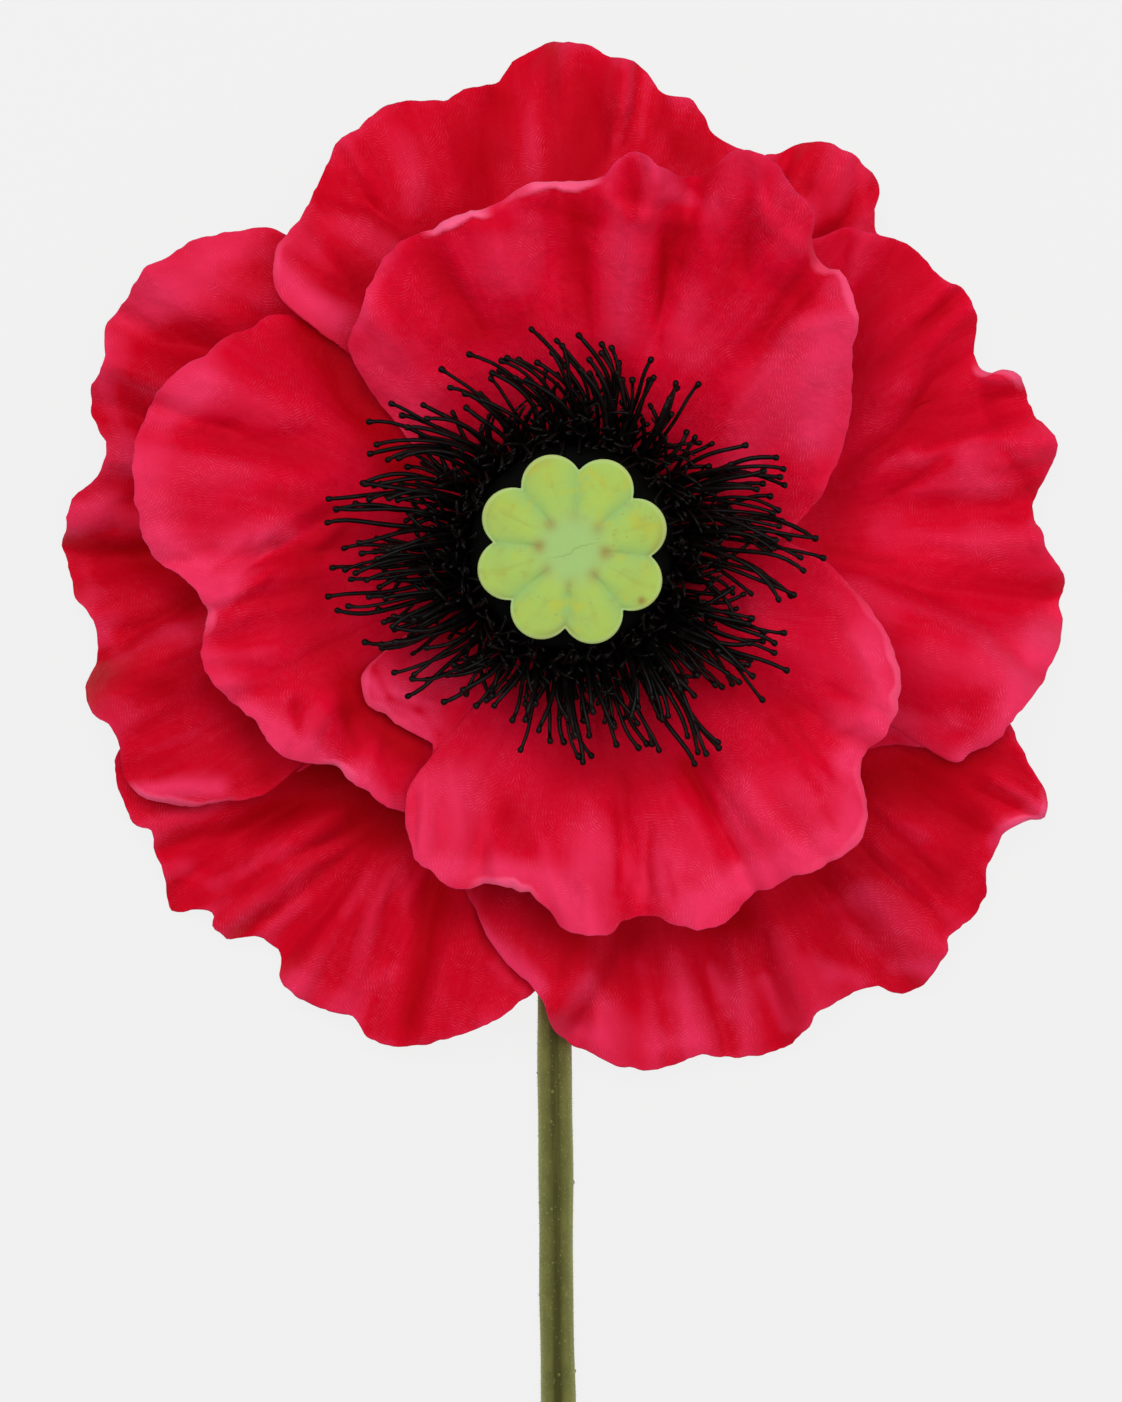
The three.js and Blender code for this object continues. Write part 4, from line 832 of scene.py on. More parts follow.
def petalRim(petal):    # adds the free edge's points and the outline seen from above
    corners = [polar(angle, reach) for angle, reach in petal["rim"]]
    length = np.linalg.norm(np.diff(np.array(corners), axis=0), axis=1).sum()
    count = round(length / petalLook["columnWidth"])
    edge = curveThrough(corners, count)
    petal["middle"] = (petal["rim"][0][0] + petal["rim"][-1][0]) / 2
    draw = random.Random(petalLook["seed"] + len(petal["rim"]))
    fray = np.array([draw.gauss(0, 1) for point in edge])
    fray = (fray + np.roll(fray, 1) + np.roll(fray, 2) * 0.5) * petalLook["fray"]
    fray += petalLook["edgeThickness"] / 2
    petal["edge"] = edge * (1 + fray / np.hypot(*edge.T))[:, None]
    angle, reach = toAngles(petal, petal["edge"][:, 0], petal["edge"][:, 1])
    petal["edgeAngle"], petal["edgeReach"] = angle, reach
    petal["reach"] = reach.max()
    coarse = slice(None, None, 5)    # enough points for the outline
    root = np.stack(polar(rootAngle(petal, angle[coarse][::-1]), petalLook["rootRadius"]), axis=1)
    petal["outline"] = np.vstack([petal["edge"][coarse], petal["edge"][-1:], root])
    petal["wrinkles"] = [(*row[:5], row[5] * petalLook["creaseRise"]) for row in petal["creases"]]
    for i in range(petalLook["wrinkles"]):    # small ones, mostly along the petal
        place = draw.randrange(len(angle))
        share = draw.uniform(*petalLook["wrinkleReach"]) ** 0.7
        turn = rootAngle(petal, angle[place])
        turn += (angle[place] - turn) * share
        x, y = polar(turn, reach[place] * share)
        turn += draw.gauss(0, petalLook["wrinkleTurn"])
        dx, dy = polar(turn, draw.uniform(*petalLook["wrinkleLength"]))
        rise = draw.choice((-1, 1)) * petalLook["wrinkleRise"] * draw.uniform(0.3, 1)
        width = draw.uniform(*petalLook["wrinkleWidth"])
        petal["wrinkles"].append((x - dx, y - dy, x + dx, y + dy, width, rise))


def toAngles(petal, x, y):    # angle near the petal's own middle, and radius
    turn = np.degrees(np.arctan2(y, x)) - petal["middle"]
    return petal["middle"] + turn - 360 * np.round(turn / 360), np.hypot(x, y)


def rootAngle(petal, angle):
    return petal["middle"] + (angle - petal["middle"]) * petalLook["rootShare"]


def outsideOf(outline, x, y):    # distance from an outline, 0 inside it
    a = outline
    b = np.roll(outline, -1, axis=0)
    dx, dy = (b - a).T
    span = np.maximum(dx * dx + dy * dy, 1e-9)
    px, py = x[:, None] - a[:, 0], y[:, None] - a[:, 1]
    along = np.clip((px * dx + py * dy) / span, 0, 1)
    nearest = np.hypot(px - along * dx, py - along * dy).min(axis=1)
    crosses = (a[:, 1] > y[:, None]) != (b[:, 1] > y[:, None])
    at = dx * (y[:, None] - a[:, 1]) / np.where(dy == 0, 1e-9, dy) + a[:, 0]
    inside = (crosses & (x[:, None] < at)).sum(axis=1) % 2 == 1
    return np.where(inside, 0, nearest)


def alongLine(x, y, row):    # distances along and beside a line from one point to another, and its length
    x0, y0, x1, y1 = row[:4]
    length = math.hypot(x1 - x0, y1 - y0)
    ux, uy = (x1 - x0) / length, (y1 - y0) / length
    return (x - x0) * ux + (y - y0) * uy, (y - y0) * ux - (x - x0) * uy, length


def freeHeight(petal, x, y):    # before the petal is laid over the ones below
    angle, radius = toAngles(petal, x, y)
    share = np.minimum(radius / petal["reach"], 1.15)    # of the way out, and a little beyond
    root = petal["rootHeight"]
    height = root + (eased(petal["lift"], angle) - root) * share ** petal["bowl"]
    height += eased(petal["ruffle"], angle) * share ** 6    # mostly near the edge
    for rootTurn, rimTurn, start, end, width, rise in petal["folds"]:
        out = (radius - start) / (end - start)
        offset = np.radians(angle - rootTurn - (rimTurn - rootTurn) * out) * radius
        height += rise * smooth(2 * out) * hump(offset, width)
    for row in petal["wrinkles"]:
        width, rise = row[4:]
        along, aside, length = alongLine(x, y, row)
        aside = aside - 0.25 * width * np.sin(along / 2.3 + row[0])    # no crease runs quite straight
        beyond = np.maximum(np.maximum(-along, along - length), 0)
        peak = np.exp(0.3 - 1.3 * np.sqrt((aside / width) ** 2 + 0.053))    # sharp, with a soft tip
        height += rise * peak * hump(beyond, 1.5 * width)
    phase = petal["middle"]
    drift = np.sin(radius / 9 + phase * 3)
    for count, part in petalLook["pleats"]:
        height += petalLook["pleat"] * part * share ** 2 * np.sin(np.radians(count * angle) + phase + drift)
    for count, part in petalLook["frills"]:
        wave = np.sin(np.radians(count * angle) + 2 * phase + 0.8 * np.sin(np.radians(7 * angle)))
        height += petalLook["frill"] * part * share ** 9 * wave
    return height


# the painted light and shade of the listed strokes at each point
def lightAndShadeAt(petal, x, y):
    lightAndShade = np.zeros_like(x)
    for row in petalLightAndShade[petal["name"]]:
        width, amount = row[4:]
        along, aside, length = alongLine(x, y, row)
        beyond = along - np.clip(along, 0, length)
        lightAndShade += amount * hump(np.hypot(beyond, aside), width)
    return lightAndShade


def layerFall(distance):    # how far a lower layer's hold has dropped at a distance beyond its edge
    return petalLook["layerFall"] * np.maximum(0, distance - petalLook["layerMargin"]) ** 2


def layerHeights(x, y, upTo=None):    # heights of the petals at points, each clear over what lies below
    rootRadius, rootGap, gapReach = petalLook["rootRadius"], petalLook["rootGap"], petalLook["gapReach"]
    out = (np.minimum(np.hypot(x, y), gapReach) - rootRadius) / (gapReach - rootRadius)
    gap = rootGap + (petalLook["layerGap"] - rootGap) * out
    beside = np.maximum(np.abs(x - stemLine(y)) - stemWidth / 2, y + neckBend)
    supports = stemWidth - petalLook["stemSink"] - layerFall(np.maximum(beside, 0))
    for petal in petals:
        floor = supports + gap
        free = freeHeight(petal, x, y)
        height = (free + floor + np.hypot(free - floor, petalLook["layerBlend"])) / 2
        height = np.maximum(height, petalLook["groundHeight"])
        if petal is upTo:
            return height
        supports = np.maximum(supports, height - layerFall(outsideOf(petal["outline"], x, y)))
    return supports


def foldCrests(z, radius):    # how far each point stands over the broad form, from -1 to 1
    level = z
    for i in range(60):    # each round smooths the broad form a little more
        level = (np.roll(level, 1, axis=1) + 2 * level + np.roll(level, -1, axis=1)) / 4
        level[:, [0, -1]] = z[:, [0, -1]]
        level[1:-1] = (level[:-2] + 2 * level[1:-1] + level[2:]) / 4
    awayFromRoot = smooth((radius - 10) / 12)
    return np.clip((z - level) / petalLook["crestRise"], -1, 1) * awayFromRoot


def buildPetal(petal, material):
    rows, columns = petalLook["rows"], len(petal["edge"])
    share = (1 - (1 - np.linspace(0, 1, rows)) ** 1.5)[:, None]    # rows lie closer at the free edge
    start = rootAngle(petal, petal["edgeAngle"])
    angle = start + (petal["edgeAngle"] - start) * (1 - (1 - share) ** 2)
    radius = petalLook["rootRadius"] + (petal["edgeReach"] - petalLook["rootRadius"]) * share
    x, y = polar(angle, radius)
    z = layerHeights(x.ravel(), y.ravel(), petal).reshape(rows, columns)
    edgeGap = petal["edgeReach"] - radius
    roll = eased(petal["roll"], petal["edgeAngle"])
    rolled = np.clip(1 - edgeGap / petalLook["rollWidth"], 0, 1) ** 2 * roll
    lip = np.clip(roll - petalLook["lipRoll"], 0, 1)
    lipWidth = petalLook["lipWidth"] * (1 + 0.25 * np.sin(np.radians(53 * petal["edgeAngle"])))    # uneven
    curl = np.clip(1 - edgeGap / lipWidth, 0, 1)
    z = np.maximum(z - petalLook["rollDrop"] * rolled, petalLook["groundHeight"])
    z += petalLook["lipRise"] * lip * np.sin(np.pi * curl ** 0.6)
    middle = np.stack([x, y, z], axis=2)
    normal = np.cross(np.gradient(middle, axis=0), np.gradient(middle, axis=1))
    normal /= np.linalg.norm(normal, axis=2)[:, :, None]
    thin = petalLook["edgeThickness"]
    more = (petalLook["thickness"] - thin) * smooth(edgeGap / petalLook["thinning"])
    half = (thin + more)[:, :, None] / 2
    upper = (middle + normal * half).reshape(-1, 3)
    lower = (middle - normal * half).reshape(-1, 3)
    border = list(range(columns)) + [r * columns + columns - 1 for r in range(1, rows)]    # all round
    border += [(rows - 1) * columns + c for c in range(columns - 2, -1, -1)]
    border += [r * columns for r in range(rows - 2, 0, -1)]
    flat = middle.reshape(-1, 3)
    outward = flat[border] - flat[np.roll(border, 1)]
    outward = np.cross(outward, normal.reshape(-1, 3)[border])
    outward /= np.maximum(np.linalg.norm(outward, axis=1), 1e-6)[:, None]
    rim = flat[border] + outward * thin / 2
    count = rows * columns
    points = np.vstack([upper, lower, rim])
    points[:, 2] = np.maximum(points[:, 2], 0.02)
    faces = gridFaces(rows, columns) + gridFaces(rows, columns, count, flip=True)
    for i, a in enumerate(border):
        b = border[(i + 1) % len(border)]
        ra, rb = 2 * count + i, 2 * count + (i + 1) % len(border)
        faces += [(b, a, ra, rb), (a + count, b + count, rb, ra)]
    across = np.broadcast_to(np.arange(columns) * petalLook["columnWidth"], (rows, columns))
    maps = np.stack([across + petal["middle"], radius], axis=2).reshape(-1, 2)
    maps = np.vstack([maps, maps, maps[border]])    # for the upper side, the lower side and the rim
    name = petal["name"].replace("petal", "bloomPetal")
    piece = addPiece(name, points, faces, material, petal["name"], maps)
    # painted light and shade: the strokes, the fold crests and the free edge, 0.5 where there is neither
    lightAndShade = 0.5 + 0.5 * lightAndShadeAt(petal, x, y) + petalLook["crestLightAndShade"] * foldCrests(z, radius)
    lightAndShade += petalLook["edgeHighlight"] * np.clip(1 - edgeGap / petalLook["edgeHighlightWidth"], 0, 1)
    ragged = 1.2 * np.sin(np.radians(23 * angle)) + 0.8 * np.sin(np.radians(41 * angle) + 1)
    masks = {
        "lightAndShade": np.clip(lightAndShade, 0, 1),
        # painted highlight where the free edge curls over
        "turned": np.clip((lipWidth - edgeGap) / 0.35, 0, 1) * lip,
        "foot": smooth((petalLook["baseReach"] + ragged - radius) / petalLook["baseFade"] + 0.5),
    }
    for key, values in masks.items():
        values = values.ravel()
        masks[key] = np.concatenate([values, values, values[border]])
    setMasks(piece, masks)


def petalMaterial(name, red):
    material, tree, shader = startMaterial(name, {
        "Roughness": petalLook["roughness"], "Specular IOR Level": petalLook["specular"],
        "Specular Tint": (1, 0.3, 0.5, 1), "Sheen Weight": petalLook["sheen"],
        "Sheen Roughness": 0.4, "Sheen Tint": (1, 0.2, 0.4, 1), "Subsurface Weight": petalLook["soft"],
        "Subsurface Radius": (0.002, 0.0004, 0.0006), "Subsurface Scale": 1.0,
    })
    place = placeOf(tree)
    patches = useGroup(tree, mottleGroup, place, Size=9.0, Low=0.3, High=0.7)
    veins = useGroup(tree, veinGroup, growthOf(tree), Spacing=1.3, Stretch=14.0)
    crinkle = useGroup(tree, crinkleGroup, place, Size=0.82, Lines=2.45, Turning=11.0, Patches=6.0)
    crumple = useGroup(tree, mottleGroup, place, Size=3.4, Low=0.3, High=0.7)
    lightAndShade = pointMask(tree, "lightAndShade")
    creaseSheen = scaled(tree, crinkle, between(tree, lightAndShade, 0.15, 0.85, 0.38))    # the cloth's fine creases paled as painted sheen, most where the painted light is
    layColours(tree, shader, red, [
        (between(tree, patches, 0.0, 1.0, 0.25), petalLook["deepRedAndShade"]),
        (between(tree, veins, 0.45, 0.8, 0.12), petalLook["pinkVeinsAndLight"]),
        # painted shade where the light-and-shade mask is low, painted light where it is high
        (between(tree, lightAndShade, 0.5, 0.0, 1.0), petalLook["deepRedAndShade"]),
        (between(tree, lightAndShade, 0.5, 1.0, 1.0), petalLook["pinkVeinsAndLight"]),
        (creaseSheen, petalLook["palePinkHighlight"]),
        # painted highlight on the curled lip
        (pointMask(tree, "turned"), petalLook["palePinkHighlight"]),
        (pointMask(tree, "foot"), petalLook["baseBlack"]),
    ])
    addBumps(tree, shader, (crumple, 0.35, 0.4), (veins, 0.3, 0.1))
    return material


shadedPetalMaterial = petalMaterial("shadedPetalCloth", petalLook["redInShade"])
litPetalMaterial = petalMaterial("litPetalCloth", petalLook["redInLight"])
for petal in petals:
    petalRim(petal)
for petal in petals:
    buildPetal(petal, litPetalMaterial if petal["name"] in petalLook["petalsInLight"] else shadedPetalMaterial)
print("petals:", len(petals))


# Stamens

stamenLook = {
    "seed": 5,
    "clumps": 50,               # of long ones, thrown outward
    "perClump": 4,
    "reach": 27.2,
    "tipHeight": 25.5,
    "middleCount": 210,         # lower and shorter ones between them
    "middleReach": (15.5, 22),
    "middleHeight": (20, 23.5),
    "innerCount": 250,          # steep and curly ones round the capsule
    "innerReach": (13, 18.5),
    "innerHeight": 30.5,
    "capCount": 130,            # the ones that bend in over it
    "capReach": (13, 14.6),
    "capHeight": (28, 30.6),
    "capHook": (0.4, 2.6),      # how far their tips bend back in
    "filament": 0.26,           # radius
    "knob": 0.39,
    "smallKnob": 0.8,           # of the middle ones, against the others
    "bareFilament": 0.72,       # of the inner ones, which have hardly a knob
    "bareKnob": 0.9,
    "rootRadius": 8.4,
    "rootRise": 1.5,
    "clear": 0.9,               # height over the petals
    # how full and how wide the brush is in each direction: [angle, share of stamens, share of reach]
    "spread": [
        [0, 1.3, 1.05], [30, 0.65, 0.96], [60, 0.6, 0.9], [85, 0.95, 0.96], [110, 1.0, 0.98],
        [130, 0.7, 0.98], [150, 0.9, 1.06], [170, 1.5, 1.04], [185, 2.0, 1.09], [205, 1.4, 1.07],
        [225, 0.7, 0.93], [250, 0.8, 0.88], [270, 1.4, 0.94], [290, 1.6, 1.0], [310, 1.8, 1.05],
        [330, 1.6, 1.06], [345, 1.1, 1.05], [360, 1.3, 1.05],
    ],
    # how far the tips lean round from their roots: [angle, lean]
    "lean": [
        [0, -13], [30, -4], [55, 0], [85, 14], [150, 14], [185, 2], [222, -11], [252, 4], [300, -3], [335, 4],
        [350, -8], [360, -13],
    ],
    "wave": 0.8,                # degrees
    "steps": 15,                # points along a filament
    "sides": 6,
    # (place, share of the knob's width)
    "knobRings": [(0.0, 0.6), (0.2, 0.85), (0.45, 1.0), (0.7, 0.88), (0.85, 0.4)],
    # (radius, height over the capsule's foot)
    "collar": [(4.4, 0.1), (9.2, 0.85), (9.6, 1.3), (8.9, 2), (5, 1.9), (4.4, 1.3)],
    "collarSides": 64,
    "colour": (0.002, 0.0014, 0.0013, 1),
    "dust": (0.007, 0.005, 0.0045, 1),
}


def brushSpread(angle, column):    # column 1 is the share of stamens, 2 the share of reach
    return float(eased([(row[0], row[column]) for row in stamenLook["spread"]], angle % 360))


def stamenPath(angle, reach, tipHeight, bend, spring, rootShift, hook):    # steeper with a lower spring
    share = np.linspace(0, 1, stamenLook["steps"])
    start = stamenLook["rootRadius"]
    radius = start + (reach - start) * share ** spring - hook * smooth((share - 0.55) / 0.45)
    wave = stamenLook["wave"] * np.sin(share * 9 + angle)    # no filament is quite even
    x, y = polar(angle + rootShift * (1 - share) + bend * share ** 2 + wave * share, radius)
    root = capsuleFoot + stamenLook["rootRise"]
    z = root + (tipHeight - root) * np.sin(share * np.pi / 2)
    clear = layerHeights(x, y) + stamenLook["clear"]
    z = np.maximum(z, np.where(share > 0.1, clear, 0))
    return np.stack([x, y, z], axis=1)


def stamenTube(path, thick, knob):
    knobAt, knobWide = zip(*stamenLook["knobRings"])
    tip = path[-1]
    ahead = tip - path[-2]
    ahead = ahead / np.linalg.norm(ahead)
    line = np.vstack([path[:-1], [tip - ahead * (knobAt[-1] - at) for at in knobAt]])
    radii = [thick * (1.15 - 0.25 * i / len(path)) for i in range(len(path) - 1)]    # thicker at the root
    radii += [max(knob * wide, thick * 0.7) for wide in knobWide[:-1]] + [knob * knobWide[-1]]
    return tubeRings(line, radii, stamenLook["sides"])


def stamenMaterial():
    material, tree, shader = startMaterial("stamenWire", {"Roughness": 0.36, "Specular IOR Level": 0.1})
    place = placeOf(tree)
    patches = useGroup(tree, mottleGroup, place, Size=1.5, Low=0.45, High=0.75)
    specks = useGroup(tree, speckGroup, place, Size=0.4, Reach=0.3)
    layColours(tree, shader, stamenLook["colour"], [(patches, stamenLook["dust"])])
    addBumps(tree, shader, (specks, 0.3, 0.05))
    return material


def buildStamens():
    look = stamenLook
    draw = random.Random(look["seed"])
    sides = look["collarSides"]
    rings = turnedRings([(radius, capsuleFoot + height) for radius, height in look["collar"]], sides)
    points = [rings.reshape(-1, 3)]
    faces = gridFaces(len(rings), sides, closed=True)
    last = (len(rings) - 1) * sides
    faces += [(last + i, last + (i + 1) % sides, (i + 1) % sides, i) for i in range(sides)]
    start = len(points[0])

    def addStamen(angle, reach, tipHeight, bend, spring, rootShift, kind="long", hook=0.0):
        nonlocal start
        thick = look["filament"] * draw.uniform(0.85, 1.15)
        knob = look["knob"] * draw.uniform(0.9, 1.1)
        if kind == "small":
            knob *= look["smallKnob"]
        if kind == "bare":
            thick *= look["bareFilament"]
            knob = thick * look["bareKnob"]
        path = stamenPath(angle, reach, tipHeight, bend, spring, rootShift, hook)
        rings = stamenTube(path, thick, knob)
        points.append(rings.reshape(-1, 3))
        faces.extend(tubeFaces(len(rings), look["sides"], start))
        start += rings.shape[0] * rings.shape[1]

    for clump in range(look["clumps"]):
        middle = (clump + draw.uniform(-0.35, 0.35)) * 360 / look["clumps"]
        lean = float(eased(look["lean"], middle % 360)) + draw.uniform(-4, 4)
        reach = look["reach"] * brushSpread(middle, 2) * draw.uniform(0.86, 1.02)
        count = look["perClump"] * brushSpread(middle, 1) + draw.uniform(-1.5, 1.5)
        for i in range(round(max(count, 1))):
            angle = middle - lean + draw.uniform(-3.4, 3.4)
            own = reach * draw.uniform(0.8, 1.04)
            height = look["tipHeight"] + draw.uniform(-2.5, 3)
            bend = lean + draw.uniform(-4, 4)
            addStamen(angle, own, height, bend, draw.uniform(0.75, 1.0), draw.uniform(-8, 8))
    goldenAngle = 137.5
    for i in range(look["middleCount"]):
        angle = i * goldenAngle + draw.uniform(-4, 4)
        reach = draw.uniform(*look["middleReach"]) * brushSpread(angle, 2)
        if draw.random() * 1.6 < brushSpread(angle, 1):    # fewer where the brush is thin
            height = draw.uniform(*look["middleHeight"])
            bend = draw.uniform(-16, 16)
            addStamen(angle, reach, height, bend, draw.uniform(0.7, 0.95), draw.uniform(-8, 8), "small")
    for i in range(look["innerCount"]):
        angle = (i + draw.uniform(-0.4, 0.4)) * 360 / look["innerCount"]
        reach = draw.uniform(*look["innerReach"])
        height = look["innerHeight"] - 0.9 * (reach - look["innerReach"][0]) + draw.uniform(-3.5, 0)
        bend = draw.uniform(-16, 16)
        addStamen(angle, reach, height, bend, draw.uniform(0.34, 0.46), draw.uniform(-6, 6), "bare")
    for i in range(look["capCount"]):
        angle = (i + draw.uniform(-0.4, 0.4)) * 360 / look["capCount"]
        reach = draw.uniform(*look["capReach"])
        height = draw.uniform(*look["capHeight"])
        bend = draw.uniform(-12, 12)
        addStamen(angle, reach, height, bend, 0.3, 0, "bare", draw.uniform(*look["capHook"]))
    addPiece("stamenBrush", np.vstack(points), faces, stamenMaterial(), "stamens")


buildStamens()
print("stamens done")


# Seed capsule

capsuleLook = {
    "lobes": 8,
    "turn": 17.5,               # angle of one lobe's middle
    "discShift": -0.22,         # the disc sits a little off the body's axis
    "discDepth": 2.7,
    "discReach": 10.4,          # about its mean radius
    "lobeCentre": 7.8,
    "lobeRadius": 3.6,
    "segments": 320,
    "body": [    # (radius, height) from the foot up to the disc
        (3.9, 0), (3.9, 1.7), (5.6, 2.35), (7.7, 3.5), (9.8, 4.9), (11.3, 6.4), (11.9, 8.3), (11.9, 9.7),
        (11.4, 11.3), (10.3, 12.3), (9.1, 12.9), (8.4, 13.2),
    ],
    "ribs": 0.012,              # rise of the body's ribs, as a share of its radius
    "lobeGreen": (0.355, 0.49, 0.09, 1),
    "grooveGreen": (0.265, 0.43, 0.13, 1),
    "middleGreen": (0.305, 0.475, 0.17, 1),
    # painted shade: the body's dark green made near black, as it lies under the disc and among the stamens
    "bodyGreenInShade": (0.0004, 0.0007, 0.0003, 1),
    "brown": (0.27, 0.19, 0.05, 1),
    "yellow": (0.42, 0.45, 0.05, 1),
    "paleRim": (0.56, 0.68, 0.36, 1),
    "rimPaleness": 0.26,
    "crackGreen": (0.24, 0.37, 0.1, 1),
    "crack": [(-3.2, -1.1), (-0.4, -0.6), (0.4, 0.1), (3.6, 0.9)],    # a hairline across the disc's middle
    "crackWidth": 0.045,        # half of it
    "spot": (8.1, -6.0),        # one darker spot near the disc's edge
    "spotSize": 0.5,
}


def lobePhase(angle):    # 0 at a lobe's middle, 1 in the groove beside it
    step = 360 / capsuleLook["lobes"]
    offset = (angle - capsuleLook["turn"] + step / 2) % step - step / 2
    return np.abs(offset) / (step / 2)


def lobedReach(angle):    # the disc's outline: a ring of overlapping circles
    offset = np.radians(lobePhase(angle) * 180 / capsuleLook["lobes"])
    centre, radius = capsuleLook["lobeCentre"], capsuleLook["lobeRadius"]
    return centre * np.cos(offset) + np.sqrt(radius ** 2 - (centre * np.sin(offset)) ** 2)


def discHeight(share, phase, radius):    # share is the radius against the outline's own there
    lobe = hump(share, 0.26, 0.68)
    edge = 0.3 * np.clip((share - 0.88) / 0.12, 0, 1) ** 2    # rolls down
    dome = discTop - 0.35 - 0.12 * share ** 2 - edge
    groove = smooth((share - 0.36) / 0.25) * phase ** 2.6 * (0.5 - 0.2 * share)
    hollow = 0.12 * np.exp(-(radius / 4.2) ** 4)    # the flat middle
    vein = 0.06 * lobe * hump(phase, 0.09)    # a fine line along each lobe
    return dome - groove - hollow + 0.07 * lobe * (1 - phase ** 2) - vein


def discStains(x, y):    # brown at the grooves' inner ends, along the lobes' middles and round the edge
    radius = np.hypot(x, y)
    turn = np.arctan2(y, x)
    degrees = np.degrees(turn)
    phase = lobePhase(degrees)
    arc = np.pi / capsuleLook["lobes"] * radius    # from a lobe's middle to its groove
    uneven = 0.65 + 0.35 * np.sin(turn * 2 + 2)
    stains = 0.75 * hump((1 - phase) * arc, 0.85) * hump(radius, 0.8, 3.9) * uneven
    stains += 0.18 * hump(phase * arc, 0.22) * hump(radius, 2, 7.6) * uneven
    stains += 0.16 * (1 - phase) * hump(radius, 1.2, 8.8) * uneven
    parts = np.clip(np.sin(turn * 5 + 1) * np.cos(turn * 2), 0, 1)
    stains += 0.42 * hump(radius / lobedReach(degrees), 0.06, 0.95) * parts
    spotX, spotY = capsuleLook["spot"]
    return np.maximum(stains, hump(np.hypot(x - spotX, y - spotY), capsuleLook["spotSize"]))


def capsuleMaterial():
    look = capsuleLook
    material, tree, shader = startMaterial("capsuleSkin", {
        "Roughness": 0.75, "Specular IOR Level": 0.07, "Subsurface Weight": 0.08,
        "Subsurface Radius": (0.0012, 0.0014, 0.0005),
    })
    place = placeOf(tree)
    patches = useGroup(tree, mottleGroup, place, Size=4.0, Low=0.35, High=0.7)
    tints = useGroup(tree, mottleGroup, place, Size=2.2, Low=0.5, High=0.72)
    bruises = useGroup(tree, mottleGroup, place, Size=1.7, Low=0.52, High=0.82)
    specks = useGroup(tree, speckGroup, place, Size=2.3, Reach=0.1)
    veins = useGroup(tree, veinGroup, growthOf(tree), Spacing=0.4, Stretch=8.0)
    layColours(tree, shader, look["lobeGreen"], [
        (pointMask(tree, "groove"), look["grooveGreen"]),
        (scaled(tree, patches, 0.3), look["grooveGreen"]),
        (scaled(tree, tints, 0.65), look["yellow"]),
        (scaled(tree, bruises, 0.34), look["brown"]),
        (pointMask(tree, "discMiddle"), look["middleGreen"]),
        (pointMask(tree, "stain"), look["brown"]),
        (scaled(tree, specks, 0.45), look["brown"]),
        (pointMask(tree, "discRim"), look["paleRim"]),
        (pointMask(tree, "crack"), look["crackGreen"]),
        (pointMask(tree, "body"), look["bodyGreenInShade"]),
    ])
    addBumps(tree, shader, (veins, 0.25, 0.1), (patches, 0.2, 0.2))
    return material


def crackStrip():    # the hairline's points and faces, on the disc
    crack = curveThrough(capsuleLook["crack"], 40)
    crack[:, 1] += 0.07 * np.sin(crack[:, 0] * 7)
    across = np.gradient(crack, axis=0)[:, ::-1] * (-1, 1)
    across /= np.linalg.norm(across, axis=1)[:, None]
    width = capsuleLook["crackWidth"] * np.sin(np.linspace(0.1, 3.04, len(crack)))[:, None]    # pointed ends
    sides = np.stack([crack - across * width, crack + across * width], axis=1).reshape(-1, 2)
    radius = np.hypot(*sides.T)
    level = discHeight(radius / capsuleLook["discReach"], 0, radius) + 0.02
    faces = [(i, i + 2, i + 3, i + 1) for i in range(0, len(sides) - 2, 2)]
    return np.column_stack([sides, level]), faces


